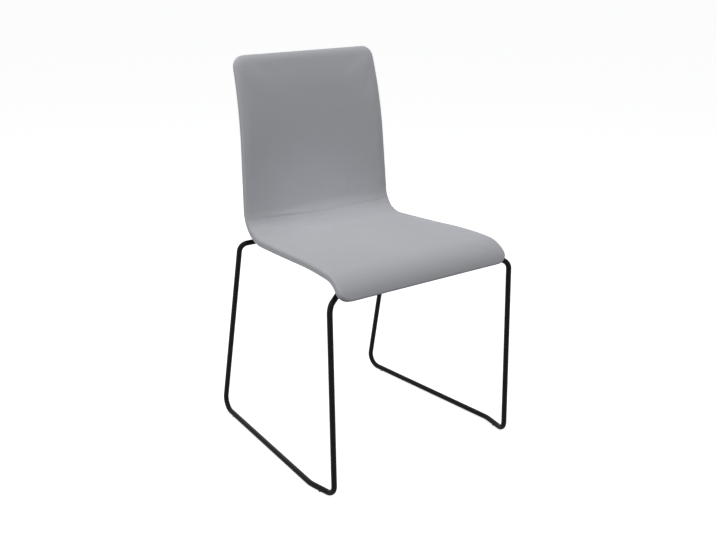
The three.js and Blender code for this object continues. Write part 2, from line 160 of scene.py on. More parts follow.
def bevel(piece: Object, kind: Element, test: Callable[[Vector, Vector], bool], width: float,
          parts: int) -> None:
    """Rounds the edges that pass a test, or the rims of the faces that do.

    Args:
        piece: The piece.
        kind: The kind of element to test.
        test: The test, as for pick.
        width: The rounding's width.
        parts: How many parts the rounding has.
    """
    with editing(piece):
        pick(piece, kind, test)
        bpy.ops.mesh.bevel(offset=width, segments=parts, affect="EDGES")


def settle(piece: Object) -> None:
    """Puts a piece's place, turn and scale into its mesh."""
    take(piece)
    bpy.ops.object.transform_apply(location=True, rotation=True, scale=True)


def apply_modifier(piece: Object, modifier: Modifier) -> None:
    """Applies one modifier of a piece."""
    take(piece)
    bpy.ops.object.modifier_apply(modifier=modifier.name)


def mesh_points(mesh: Mesh) -> np.ndarray:
    """Gives the places of a mesh's vertices.

    Args:
        mesh: The mesh.

    Returns:
        A row of x, y and z for each vertex.
    """
    values = np.zeros(len(mesh.vertices) * 3)
    mesh.vertices.foreach_get("co", values)
    return values.reshape(-1, 3)


def signed_volume(piece: Object) -> float:
    """Gives the volume of a closed piece, which is negative if it is inside out.

    Args:
        piece: The mesh object to measure.

    Returns:
        The volume in cubic metres.
    """
    shape = bmesh.new()
    shape.from_mesh(piece.data)
    volume = shape.calc_volume(signed=True)
    shape.free()
    return volume


def face_outwards(piece: Object) -> None:
    """Merges the doubles of a closed piece and turns its faces outwards.

    Args:
        piece: The mesh object to mend.
    """
    with editing(piece, picked=True):
        bpy.ops.mesh.remove_doubles(threshold=MERGE_DISTANCE)
        bpy.ops.mesh.normals_make_consistent(inside=False)
    if signed_volume(piece) < 0:
        with editing(piece, picked=True):
            bpy.ops.mesh.flip_normals()


def cut(piece: Object, tool: Object, way: Cut = Cut.AWAY) -> None:
    """Cuts a closed body out of a piece or joins it on, and deletes the body.

    Args:
        piece: The piece to change.
        tool: The closed body.
        way: Whether the body is taken away or joined on.
    """
    modifier = piece.modifiers.new("cut", "BOOLEAN")
    modifier.object = tool
    modifier.operation = way.value
    modifier.solver = "EXACT"
    apply_modifier(piece, modifier)
    bpy.data.objects.remove(tool)


def round_bar(radius: float, start: Vector, end: Vector, sides: int) -> Object:
    """Adds a round bar between two points, as a tool or as the start of a piece.

    Args:
        radius: The bar's radius.
        start: The middle of one end.
        end: The middle of the other end.
        sides: How many sides the bar has.

    Returns:
        The new object, settled.
    """
    axis = end - start
    bpy.ops.mesh.primitive_cylinder_add(
        vertices=sides, radius=radius, depth=axis.length, location=(start + end) / 2,
        rotation=UP.rotation_difference(axis).to_euler())
    bar = bpy.context.active_object
    settle(bar)
    return bar


def drill(piece: Object, radius: float, middle: Vector, reach: float, sides: int) -> None:
    """Bores an upright hole, which reaches equally far up and down from its middle."""
    cut(piece, round_bar(radius, middle - UP * reach, middle + UP * reach, sides))


def node_middle(node: str) -> Vector:
    """Gives the middle of a node's box."""
    low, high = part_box(node)
    return (low + high) / 2


class ShaderSheet:
    """Adds and links the nodes of one material, world or node group."""

    def __init__(self, tree: NodeTree) -> None:
        """Empties the tree and starts on it."""
        self.tree = tree
        self.tree.nodes.clear()

    def feed(self, socket: NodeSocket, value: object) -> None:
        """Links an input to a socket, or sets it to a value.

        Args:
            socket: The input.
            value: A socket or a value.
        """
        if isinstance(value, NodeSocket):
            self.tree.links.new(value, socket)
        else:
            socket.default_value = value

    def fill(self, node: Node, **settings: object) -> Node:
        """Sets a node's properties and inputs.

        Args:
            node: The node.
            settings: A property's name, or an input's name with underscores for spaces, and its value.

        Returns:
            The node.
        """
        for name, value in settings.items():
            if hasattr(node, name):
                setattr(node, name, value)
            else:
                self.feed(node.inputs[name.replace("_", " ")], value)
        return node

    def add(self, kind: str, **settings: object) -> Node:
        """Adds a shader node of a kind and fills it in."""
        return self.fill(self.tree.nodes.new(f"ShaderNode{kind}"), **settings)

    def maths(self, operation: str, *terms: float | NodeSocket) -> NodeSocket:
        """Adds a sum.

        Args:
            operation: The operation's name.
            terms: Its inputs, as numbers or sockets.

        Returns:
            The result's socket.
        """
        node = self.add("Math", operation=operation)
        for socket, term in zip(node.inputs, terms):
            self.feed(socket, term)
        return node.outputs[0]


def new_group(name: str, takes: dict[str, str], gives: Iterable[str]) -> tuple[ShaderSheet, dict, dict]:
    """Starts a shader node group that gives numbers.

    Args:
        name: The group's name.
        takes: The names and kinds of its inputs.
        gives: The names of its outputs.

    Returns:
        The group's sheet, its inputs by name, and the sockets that its results go into by name.
    """
    tree = bpy.data.node_groups.new(name, "ShaderNodeTree")
    sheet = ShaderSheet(tree)
    for socket, kind in takes.items():
        tree.interface.new_socket(name=socket, in_out="INPUT", socket_type=kind)
    for socket in gives:
        tree.interface.new_socket(name=socket, in_out="OUTPUT", socket_type=NUMBER)
    source = tree.nodes.new("NodeGroupInput")
    result = tree.nodes.new("NodeGroupOutput")
    starts = {socket.name: socket for socket in source.outputs if socket.name}
    ends = {socket.name: socket for socket in result.inputs if socket.name}
    return sheet, starts, ends


@dataclass(frozen=True)
class SurfaceEffects:
    """The node groups that more than one finish uses, built once."""

    weave: NodeTree
    mottle: NodeTree
    grain: NodeTree

    @classmethod
    def build(cls) -> "SurfaceEffects":
        """Builds the groups."""
        return cls(weave=cls.build_weave(), mottle=cls.build_mottle(), grain=cls.build_grain())

    @staticmethod
    def build_weave() -> NodeTree:
        """Builds a plain weave: threads that pass over and under each other.

        Returns:
            The group, with the threads' height and the gaps between them.
        """
        sheet, starts, ends = new_group("plain_weave", {"Place": PLACE, "Pitch": NUMBER}, ("Height", "Gap"))
        parts = sheet.add("SeparateXYZ", Vector=starts["Place"])
        waves = []
        for axis in ("X", "Y"):
            threads = sheet.maths("DIVIDE", parts.outputs[axis], starts["Pitch"])
            waves.append(sheet.maths("MULTIPLY", threads, math.pi))
        crossing = sheet.maths("MULTIPLY", *(sheet.maths("SINE", wave) for wave in waves))
        tops = []
        for wave, half in zip(waves, (0.5, -0.5)):
            thread = sheet.maths("ABSOLUTE", sheet.maths("COSINE", wave))
            tops.append(sheet.maths("MULTIPLY", thread, sheet.maths("MULTIPLY_ADD", crossing, half, 0.5)))
        height = sheet.maths("MAXIMUM", *tops)
        sheet.feed(ends["Height"], height)
        sheet.feed(ends["Gap"], sheet.maths("SUBTRACT", 1.0, height))
        return sheet.tree

    @staticmethod
    def build_mottle() -> NodeTree:
        """Builds a soft, cloudy change of tone.

        Returns:
            The group, with a tone around 1.
        """
        takes = {"Place": PLACE, "Size": NUMBER, "Strength": NUMBER}
        sheet, starts, ends = new_group("soft_mottle", takes, ["Tone"])
        scale = sheet.maths("DIVIDE", 1.0, starts["Size"])
        cloud = sheet.add("TexNoise", Vector=starts["Place"], Scale=scale, Detail=3.0, Roughness=0.55)
        swing = sheet.maths("SUBTRACT", cloud.outputs["Fac"], 0.5)
        sheet.feed(ends["Tone"], sheet.maths("MULTIPLY_ADD", swing, starts["Strength"], 1.0))
        return sheet.tree

    @staticmethod
    def build_grain() -> NodeTree:
        """Builds a fine, even grain, as on powder coat and moulded plastic.

        Returns:
            The group, with the grain's height and its specks.
        """
        sheet, starts, ends = new_group("fine_grain", {"Place": PLACE, "Size": NUMBER}, ("Height", "Speck"))
        scale = sheet.maths("DIVIDE", 1.0, starts["Size"])
        bumps = sheet.add("TexNoise", Vector=starts["Place"], Scale=scale, Detail=2.0, Roughness=0.6)
        cells = sheet.add("TexVoronoi", Vector=starts["Place"], Scale=scale)
        speck_reach = 0.16
        sheet.feed(ends["Height"], bumps.outputs["Fac"])
        sheet.feed(ends["Speck"], sheet.maths("LESS_THAN", cells.outputs["Distance"], speck_reach))
        return sheet.tree


class FinishSheet(ShaderSheet):
    """The sheet of one finish's material, with its shader, the place on the object and the effects."""

    def __init__(self, material: Material, effects: SurfaceEffects) -> None:
        """Starts the material with a plain shader.

        Args:
            material: The new material.
            effects: The shared node groups.
        """
        super().__init__(material.node_tree)
        self.effects = effects
        self.shader = self.add("BsdfPrincipled")
        self.add("OutputMaterial", Surface=self.shader.outputs["BSDF"])
        self.place = self.add("TexCoord").outputs["Object"]

    def effect(self, group: NodeTree, place: NodeSocket, **settings: float) -> Node:
        """Places one of the effects, with its settings."""
        return self.add("Group", node_tree=group, Place=place, **settings)

    def mottle(self, place: NodeSocket, size: float, strength: float) -> NodeSocket:
        """Gives a cloudy tone around 1."""
        return self.effect(self.effects.mottle, place, Size=size, Strength=strength).outputs["Tone"]

    def tint(self, colour: tuple[float, float, float], *tones: NodeSocket) -> None:
        """Gives the shader a colour that changes over the surface.

        Args:
            colour: The colour.
            tones: Numbers around 1 that the colour is multiplied by.
        """
        tone = tones[0]
        for other in tones[1:]:
            tone = self.maths("MULTIPLY", tone, other)
        shade = self.add("VectorMath", operation="SCALE", Vector=colour, Scale=tone)
        self.fill(self.shader, Base_Color=shade.outputs["Vector"])

    def emboss(self, height: NodeSocket, depth: float, strength: float) -> None:
        """Puts a bump on the shader, whose height of 1 is as deep as given, in metres."""
        bump = self.add("Bump", Strength=strength, Distance=depth, Height=height)
        self.fill(self.shader, Normal=bump.outputs["Normal"])


@dataclass(frozen=True)
class Finish:
    """What every finish shares: its name, its slot in the record and its colour."""

    name: str
    slot: str
    colour: tuple[float, float, float]

    def build(self, effects: SurfaceEffects) -> Material:
        """Builds the finish's material.

        Args:
            effects: The shared node groups.

        Returns:
            The material.
        """
        material = bpy.data.materials.new(self.name)
        material.use_nodes = True
        material.diffuse_color = (*self.colour, 1.0)
        self.shade(FinishSheet(material, effects))
        return material

    def shade(self, sheet: FinishSheet) -> None:
        """Gives the sheet the look of one kind of finish."""
        raise NotImplementedError


@dataclass(frozen=True)
class CoverCloth(Finish):
    """Fine, matt upholstery cloth, whose threads follow the cover's own flat pattern."""

    name: str = "cover_cloth"
    slot: str = "cover"
    colour: tuple[float, float, float] = (0.446, 0.452, 0.481)
    thread_pitch: float = 0.0007
    thread_height: float = 0.00008
    thread_relief: float = 0.25
    # the next two numbers paint shade into the weave: darker in its gaps, a little lighter on the threads'
    # tops
    thread_tone: float = 1.03
    gap_shade: float = -0.12
    cloud_size: float = 0.11
    cloud_strength: float = 0.1
    slub_size: float = 0.006
    slub_strength: float = 0.07
    roughness: float = 0.86
    specular: float = 0.3
    sheen: float = 0.12
    sheen_roughness: float = 0.6

    def shade(self, sheet: FinishSheet) -> None:
        """Weaves the cloth, with soft clouds and slubs in its tone, and painted shade in the gaps between its
        threads.

        Args:
            sheet: The material's sheet.
        """
        pattern = sheet.add("UVMap", uv_map=FLAT_PATTERN).outputs["UV"]
        weave = sheet.effect(sheet.effects.weave, pattern, Pitch=self.thread_pitch)
        clouds = sheet.mottle(sheet.place, self.cloud_size, self.cloud_strength)
        slubs = sheet.mottle(pattern, self.slub_size, self.slub_strength)
        # painted shade: the colour is darker where the weave's gaps lie deep and a little lighter on the
        # threads' tops
        gaps = sheet.maths("MULTIPLY_ADD", weave.outputs["Gap"], self.gap_shade, self.thread_tone)
        sheet.tint(self.colour, gaps, clouds, slubs)
        sheet.fill(
            sheet.shader, Roughness=sheet.maths("MULTIPLY", clouds, self.roughness),
            Specular_IOR_Level=self.specular, Sheen_Weight=self.sheen, Sheen_Roughness=self.sheen_roughness)
        sheet.emboss(weave.outputs["Height"], self.thread_height, self.thread_relief)


@dataclass(frozen=True)
class GrainedFinish(Finish):
    """A finish with a fine grain: powder coat, moulded plastic or plated or blackened steel."""

    roughness: float = 0.5
    metallic: float = 0.0
    specular: float = 0.5
    grain_size: float = 0.0004
    grain_height: float = 0.00002
    grain_relief: float = 0.4
    speck_tone: float = 0.3
    cloud_size: float = 0.03
    cloud_strength: float = 0.25

    def shade(self, sheet: FinishSheet) -> None:
        """Gives the surface its grain, with soft clouds in its tone and gloss.

        Args:
            sheet: The material's sheet.
        """
        grain = sheet.effect(sheet.effects.grain, sheet.place, Size=self.grain_size)
        clouds = sheet.mottle(sheet.place, self.cloud_size, self.cloud_strength)
        specks = sheet.maths("MULTIPLY_ADD", grain.outputs["Speck"], self.speck_tone, 1.0)
        sheet.tint(self.colour, clouds, specks)
        sheet.fill(
            sheet.shader, Roughness=sheet.maths("MULTIPLY", clouds, self.roughness), Metallic=self.metallic,
            Specular_IOR_Level=self.specular)
        sheet.emboss(grain.outputs["Height"], self.grain_height, self.grain_relief)


@dataclass(frozen=True)
class MouldedPlywood(Finish):
    """Beech plywood, with long grain and short dark pores."""

    name: str = "moulded_plywood"
    slot: str = "plywood"
    colour: tuple[float, float, float] = (0.58, 0.4, 0.2)
    grain_stretch: tuple[float, float, float] = (160.0, 8.0, 60.0)
    fibre_strength: float = 0.5
    pore_size: float = 0.4
    pore_shade: float = -0.3
    pore_depth: float = 0.00005
    pore_relief: float = 0.2
    roughness: float = 0.6

    def shade(self, sheet: FinishSheet) -> None:
        """Gives the wood its fibres and pores.

        Args:
            sheet: The material's sheet.
        """
        stretched = sheet.add("Mapping", Vector=sheet.place, Scale=self.grain_stretch).outputs["Vector"]
        fibres = sheet.mottle(stretched, 1.0, self.fibre_strength)
        pores = sheet.effect(sheet.effects.grain, stretched, Size=self.pore_size)
        dark = sheet.maths("MULTIPLY_ADD", pores.outputs["Speck"], self.pore_shade, 1.0)
        sheet.tint(self.colour, fibres, dark)
        sheet.fill(sheet.shader, Roughness=sheet.maths("MULTIPLY", fibres, self.roughness))
        sheet.emboss(pores.outputs["Height"], self.pore_depth, self.pore_relief)


POWDER_COAT = GrainedFinish(
    name="satin_powder_coat", slot="frame", colour=(0.006, 0.006, 0.007), roughness=0.42, specular=0.085,
    grain_size=0.0009, grain_height=0.00003)
SPACER_PLASTIC = GrainedFinish(
    name="black_spacer_plastic", slot="spacer", colour=(0.015, 0.015, 0.016), roughness=0.55)
GLIDE_NYLON = GrainedFinish(
    name="black_glide_nylon", slot="glide", colour=(0.012, 0.012, 0.013), roughness=0.5)
BLACK_OXIDE = GrainedFinish(
    name="black_oxide_steel", slot="screw", colour=(0.04, 0.04, 0.043), roughness=0.38, metallic=1.0,
    grain_size=0.0003, speck_tone=0.15)
ZINC_PLATE = GrainedFinish(
    name="zinc_plated_steel", slot="hardware", colour=(0.46, 0.47, 0.49), roughness=0.35, metallic=1.0,
    grain_size=0.0006, speck_tone=0.1)
COVER_CLOTH = CoverCloth()
PLYWOOD = MouldedPlywood()


class Wardrobe:
    """Builds each finish's material once, and dresses the pieces in it."""

    def __init__(self) -> None:
        """Builds the shared effects."""
        self.effects = SurfaceEffects.build()
        self.materials: dict[str, Material] = {}

    def paint(self, piece: Object, finish: Finish) -> None:
        """Gives a piece the material of a finish, built when it is first asked for.

        Args:
            piece: The piece.
            finish: The finish.
        """
        if finish.name not in self.materials:
            self.materials[finish.name] = finish.build(self.effects)
        piece.data.materials.clear()
        piece.data.materials.append(self.materials[finish.name])

    def dress_node(self, node: str, finish: Finish) -> None:
        """Gives a node that stays its finish."""
        self.paint(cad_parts[node], finish)
        LOG.info("node %s: %s", node, finish.name)

    def dress_piece(self, piece: Object, name: str, finish: Finish,
                    nodes: Iterable[str] = (), crease_angle: float = math.radians(35)) -> None:
        """Names a new piece, smooths it, gives it its finish and puts it on the chair's body.

        Args:
            piece: The finished mesh object.
            name: The piece's name.
            finish: The finish.
            nodes: The nodes that the piece stands for.
            crease_angle: Edges sharper than this stay sharp.
        """
        take(piece)
        bpy.ops.object.shade_smooth_by_angle(angle=crease_angle)
        take()
        piece.name = piece.data.name = name
        self.paint(piece, finish)
        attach(piece, BODY)
        if nodes:
            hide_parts(*nodes)
        litres = signed_volume(piece) * 1000
        LOG.info("piece %s: %s, %d faces, %.4f l", name, finish.name, len(piece.data.polygons), litres)


@dataclass(frozen=True)
class Stretch:
    """An evenly bent stretch of the shell's side view. A positive turn, in degrees, bends it upwards."""

    length: float
    turn: float


@dataclass
class ShellForm:
    """The form of the shell.

    A place on it is given by x, by the run along its face from the front edge to the top edge, and by
    the depth behind the face.
    """

    seat_height: float = 0.4713
    seat_start: float = 0.0519
    front_bar_setback: float = 0.0969
    seat_pitch: float = 3.8
    lip: Stretch = Stretch(0.081, -70.9)
    seat_front: Stretch = Stretch(0.118, -7.0)
    seat_rear: Stretch = Stretch(0.166, 1.3)
    bend: Stretch = Stretch(0.0803, 87.8)
    lumbar: Stretch = Stretch(0.13, 0.25)
    upper_back: Stretch = Stretch(0.2155, -15.2)
    front_half_width: float = 0.2232
    rear_half_width: float = 0.1988
    top_half_width: float = 0.1864
    front_corner_radius: float = 0.028
    top_corner_radius: float = 0.026
    back_dish: float = 0.011
    pad_crown: float = 0.003
    fine_row_share: float = 0.27

    def __post_init__(self) -> None:
        """Works out where each stretch starts."""
        stretches = [self.lip, self.seat_front, self.seat_rear, self.bend, self.lumbar, self.upper_back]
        lengths = np.array([stretch.length for stretch in stretches])
        self.rates = np.radians([stretch.turn for stretch in stretches]) / lengths
        self.start_runs = np.concatenate([[0.0], np.cumsum(lengths)[:-1]])
        self.length = float(lengths.sum())
        headings = [math.radians(self.seat_pitch - self.lip.turn)]
        places = [(0.0, 0.0)]
        for length, rate in zip(lengths, self.rates):
            (y, z), heading = places[-1], headings[-1]
            onwards = heading + rate * length
            y += (math.sin(onwards) - math.sin(heading)) / rate
            z -= (math.cos(onwards) - math.cos(heading)) / rate
            places.append((y, z))
            headings.append(onwards)
        front_foot = node_middle("cross_bar_front").y - self.front_bar_setback
        shift = np.array([front_foot + self.seat_start, self.seat_height]) - places[1]
        self.start_places = np.array(places[:-1]) + shift
        self.start_headings = np.array(headings[:-1])
        self.bend_start = float(self.start_runs[3])
        self.lumbar_start = float(self.start_runs[4])

    def side_view(self, runs: np.ndarray) -> tuple[np.ndarray, np.ndarray, np.ndarray]:
        """Gives the face's places in the side view.

        Args:
            runs: Runs from the front edge.

        Returns:
            The places' y and z, and the headings from +Y towards +Z in radians.
        """
        index = np.clip(np.searchsorted(self.start_runs, runs, side="right") - 1, 0, None)
        rate = self.rates[index]
        start = self.start_headings[index]
        heading = start + rate * (runs - self.start_runs[index])
        y = self.start_places[index, 0] + (np.sin(heading) - np.sin(start)) / rate
        z = self.start_places[index, 1] - (np.cos(heading) - np.cos(start)) / rate
        return y, z, heading

    def half_widths(self, runs: np.ndarray) -> np.ndarray:
        """Gives the shell's half widths.

        Args:
            runs: Runs from the front edge.

        Returns:
            The half widths at these runs.
        """
        places = [0.0, self.bend_start, self.lumbar_start, self.length]
        widths = [self.front_half_width, self.rear_half_width, self.rear_half_width, self.top_half_width]
        return np.interp(runs, places, widths)

    @staticmethod
    def swell(runs: np.ndarray, start: float, end: float) -> np.ndarray:
        """Gives a smooth rise and fall between two runs, zero outside them."""
        return np.sin(np.pi * np.clip((runs - start) / (end - start), 0, 1))

    def points(self, x: np.ndarray, runs: np.ndarray, depths: np.ndarray, crowns: np.ndarray) -> np.ndarray:
        """Gives places in the room for places on the shell.

        Args:
            x: Places across the shell.
            runs: Runs from the front edge.
            depths: Depths behind the face.
            crowns: The shares of the padding's crown that the places follow.

        Returns:
            An array of points.
        """
        y, z, heading = self.side_view(runs)
        across = 1 - (x / self.half_widths(runs)) ** 2
        dish = self.back_dish * self.swell(runs, self.bend_start, self.length)
        bulge = self.swell(runs, 0, self.bend_start) + self.swell(runs, self.lumbar_start, self.length)
        total = depths + (dish - self.pad_crown * crowns * bulge) * across
        return np.column_stack([x, y + np.sin(heading) * total, z - np.cos(heading) * total])

    def inwards(self, runs: np.ndarray) -> np.ndarray:
        """Gives the directions from the face into the shell at some runs."""
        heading = self.side_view(runs)[2]
        return np.column_stack([np.zeros_like(heading), np.sin(heading), -np.cos(heading)])

    def row_runs(self, along: np.ndarray) -> np.ndarray:
        """Spreads even rows over the run, more of them where the shell bends.

        Args:
            along: Rows from -1 to 1.

        Returns:
            Shares of the run.
        """
        bend_share = self.bend_start / self.length
        lumbar_share = self.lumbar_start / self.length
        rest = 1 - self.fine_row_share
        before = rest * bend_share / (bend_share + 1 - lumbar_share)
        rows = [0.0, before, before + self.fine_row_share, 1.0]
        return np.interp((along + 1) / 2, rows, [0.0, bend_share, lumbar_share, 1.0])

    def flat_places(self, across: np.ndarray, along: np.ndarray, insets: np.ndarray) -> np.ndarray:
        """Gives places in the flat pattern, whose corners are round.

        Args:
            across: Places from -1 to 1 across the pattern.
            along: Places from -1 to 1 from the front edge to the top edge.
            insets: How far the pattern is drawn in from the shell's outline.

        Returns:
            An array of x and run.
        """
        half = self.front_half_width - insets
        half_run = self.length / 2 - insets
        x = np.abs(across) * half
        run = (2 * self.row_runs(along) - 1) * half_run
        corner = np.where(run < 0, self.front_corner_radius, self.top_corner_radius) - insets
        over_x = np.clip((x - half + corner) / corner, 0, 1)
        over_run = np.clip((np.abs(run) - half_run + corner) / corner, 0, 1)
        bent_x = np.minimum(x, half - corner) + corner * over_x * np.sqrt(1 - over_run**2 / 2)
        x = np.where(over_run > 0, bent_x, x)
        straight = np.minimum(np.abs(run), half_run - corner)
        bent = straight + corner * over_run * np.sqrt(1 - over_x**2 / 2)
        run = self.length / 2 + np.sign(run) * np.where(over_x > 0, bent, np.abs(run))
        reach = self.front_half_width - max(self.front_corner_radius, self.top_corner_radius)
        x += (self.half_widths(run) - self.front_half_width) * np.minimum(x / reach, 1)
        return np.column_stack([np.sign(across) * x, run])


@dataclass(frozen=True)
class Level:
    """A level of a padded piece: how far it is drawn in, its depth and its share of the crown.

    A level that rolls is a part of the edge's rounding, which is narrower round the seat.
    """

    inset: float
    depth: float
    crown: float = 0.0
    rolls: bool = False


@dataclass(frozen=True)
class EdgeRoll:
    """How much narrower and shallower the edge's rounding gets round the seat and at the front edge."""

    width_share: float = 1.0
    depth_share: float = 1.0
    front_share: float = 1.0
    front_reach: float = 0.06

    def shares(self, shell: ShellForm, along: np.ndarray) -> tuple[np.ndarray, np.ndarray]:
        """Gives what is left of the rounding.

        Args:
            shell: The shell's form.
            along: Rows from -1 at the front edge to 1 at the top edge.

        Returns:
            The shares of the width and of the depth.
        """
        runs = shell.row_runs(along) * shell.length
        rise = np.clip((runs - shell.bend_start) / (shell.lumbar_start - shell.bend_start), 0, 1)
        on_back = rise * rise * (3 - 2 * rise)
        narrowing = 1 - (1 - self.front_share) * np.clip(1 - runs / self.front_reach, 0, 1)
        width = (self.width_share + (1 - self.width_share) * on_back) * narrowing
        depth = (self.depth_share + (1 - self.depth_share) * on_back) * (1 + narrowing) / 2
        return width, depth


@dataclass
class PaddedPart:
    """A closed padded piece, made from a flat pattern and laid on the shell.

    The first level is the side that shows, the last is the side that lies on the plywood, and the
    levels between them are rings round the edge.
    """

    shell: ShellForm
    levels: list[Level]
    grid: tuple[int, int]
    swelling: float
    roll: EdgeRoll = EdgeRoll()
    held_levels: int = 4
    pressure: float = 4.0
    steps: int = 20

    def build(self) -> Object:
        """Models the piece and lays it on the shell.

        Returns:
            The piece, with one subdivision applied and its flat pattern kept.
        """
        piece = self.model_pattern()
        across, along, heights = mesh_points(piece.data).T
        index = np.rint(-heights).astype(int)
        insets, depths, crowns, rolls = np.array([astuple(level) for level in self.levels], float)[index].T
        width_shares, depth_shares = self.roll.shares(self.shell, along)
        insets *= np.where(rolls, width_shares, 1)
        depths *= np.where(rolls, depth_shares, 1)
        x, runs = self.shell.flat_places(across, along, insets).T
        piece.data.vertices.foreach_set("co", self.shell.points(x, runs, depths, crowns).ravel())
        self.keep(piece, "laid", np.column_stack([x, runs, index]))
        opened = self.shell.flat_places(across, along, self.opened_insets()[index])
        self.keep(piece, "opened", np.column_stack([opened, depths]))
        face_outwards(piece)
        self.swell_padding(piece, index)
        modifier = piece.modifiers.new("round", "SUBSURF")
        modifier.levels = modifier.render_levels = 1
        apply_modifier(piece, modifier)
        return piece

    def model_pattern(self) -> Object:
        """Models the piece in its pattern's own space, where each level is 1 below the one before.

        Returns:
            The closed piece, from -1 to 1 each way.
        """
        columns, rows = self.grid
        size = {"x_subdivisions": columns, "y_subdivisions": rows, "size": 2}
        bpy.ops.mesh.primitive_grid_add(**size)
        piece = bpy.context.active_object
        with editing(piece):
            bpy.ops.mesh.select_mode(type="EDGE")
            bpy.ops.mesh.select_non_manifold()
            for _ in self.levels[1:]:
                bpy.ops.mesh.extrude_region_move(TRANSFORM_OT_translate={"value": (0, 0, -1)})
        bpy.ops.mesh.primitive_grid_add(location=(0, 0, 1 - len(self.levels)), **size)
        lining = bpy.context.active_object
        settle(lining)
        take(piece, lining)
        bpy.ops.object.join()
        with editing(piece, picked=True):
            bpy.ops.mesh.remove_doubles(threshold=1 / (4 * rows))
        return piece

    def opened_insets(self) -> np.ndarray:
        """Gives each level's inset in the pattern once its edge is opened out flat.

        Returns:
            The insets, negative outside the outline.
        """
        steps = [0.0]
        for first, second in zip(self.levels, self.levels[1:]):
            steps.append(math.hypot(second.inset - first.inset, second.depth - first.depth))
        opened = self.levels[0].inset - np.cumsum(steps)
        opened[-1] = self.levels[-1].inset
        return opened

    @staticmethod
    def keep(piece: Object, name: str, values: np.ndarray) -> None:
        """Keeps three numbers for each vertex of a piece as an attribute."""
        store = piece.data.attributes.new(name, "FLOAT_VECTOR", "POINT")
        store.data.foreach_set("vector", values.astype(np.float32).ravel())

    @staticmethod
    def kept(piece: Object, name: str) -> np.ndarray:
        """Gives the numbers that were kept for each vertex.

        Args:
            piece: The piece.
            name: The attribute's name.

        Returns:
            A row of three numbers for each vertex.
        """
        values = np.zeros(len(piece.data.vertices) * 3, np.float32)
        piece.data.attributes[name].data.foreach_get("vector", values)
        return values.reshape(-1, 3).astype(float)

    def swell_padding(self, piece: Object, index: np.ndarray) -> None:
        """Lets the padding swell under its cloth, and caps how far each place moves.

        Args:
            piece: The piece to swell.
            index: The level of each vertex.
        """
        before = mesh_points(piece.data)
        held = piece.vertex_groups.new(name="held")
        held.add(np.flatnonzero(index >= len(self.levels) - self.held_levels).tolist(), 1.0, "REPLACE")
        cloth = piece.modifiers.new("padding", "CLOTH")
        cloth.settings.use_pressure = True
        cloth.settings.uniform_pressure_force = self.pressure
        cloth.settings.effector_weights.gravity = 0.0
        cloth.settings.vertex_group_mass = held.name
        cloth.collision_settings.use_collision = False
        for step in range(1, self.steps + 1):
            bpy.context.scene.frame_set(step)
        moves = mesh_points(piece.evaluated_get(bpy.context.evaluated_depsgraph_get()).data) - before
        lengths = np.maximum(np.linalg.norm(moves, axis=1), MERGE_DISTANCE)
        LOG.info("swelling: middle %.2f mm, most %.2f mm", np.median(lengths) * 1000, lengths.max() * 1000)
        capped = self.swelling * np.tanh(lengths / self.swelling)
        moves *= (capped / lengths)[:, None]
        piece.modifiers.remove(cloth)
        piece.vertex_groups.clear()
        piece.data.vertices.foreach_set("co", (before + moves).ravel())
        bpy.context.scene.frame_set(1)

    def lay_pattern(self, piece: Object) -> None:
        """Gives the finished piece its flat pattern as a UV map, in metres.

        Args:
            piece: The finished piece.
        """
        opened = self.kept(piece, "opened")[:, :2]
        corners = np.zeros(len(piece.data.loops), int)
        piece.data.loops.foreach_get("vertex_index", corners)
        while piece.data.uv_layers:
            piece.data.uv_layers.remove(piece.data.uv_layers[0])
        layer = piece.data.uv_layers.new(name=FLAT_PATTERN)
        layer.data.foreach_set("uv", opened[corners].astype(np.float32).ravel())
        for name in ("laid", "opened"):
            piece.data.attributes.remove(piece.data.attributes[name])


@dataclass(frozen=True)
class Crease:
    """A crease across the shell: its run and its share of the depth at some places across."""

    x: tuple[float, ...] = (0.05, 0.115, 0.175)
    runs: tuple[float, ...] = (0.438, 0.452, 0.466)
    depth_shares: tuple[float, ...] = (0.0, 1.0, 0.5)
    depth: float = 0.0007
    half_width: float = 0.003
    sharpness: float = 1.4
    shoulder_share: float = 0.45
    shoulder_place: float = 2.4

    def depths(self, x: np.ndarray, runs: np.ndarray) -> np.ndarray:
        """Gives how deep the crease is at some places.

        Args:
            x: Places across the shell.
            runs: Runs from the front edge.

        Returns:
            Depths, negative where the cloth is pushed up beside the crease.
        """
        away = np.abs(runs - np.interp(x, self.x, self.runs)) / self.half_width
        strength = np.interp(x, self.x, self.depth_shares)
        shoulders = self.shoulder_share * np.exp(-((away - self.shoulder_place) ** 2))
        return self.depth * strength * (np.exp(-away**self.sharpness) - shoulders)


@dataclass(frozen=True)
class Wave:
    """An uneven wave of the cloth: how many swings it has in a metre each way, and its seed."""

    across: float
    along: float
    seed: float

    def heights(self, x: np.ndarray, runs: np.ndarray) -> np.ndarray:
        """Gives the wave at some places, from about -1 to 1."""
        places = zip(x * self.across, runs * self.along)
        return np.array([noise.noise(Vector((a, b, self.seed))) for a, b in places])


@dataclass(frozen=True)
class FoldLine:
    """The padding's line through the bend at one place across: its depths at some runs."""

    x: float
    runs: tuple[float, ...]
    depths: tuple[float, ...]


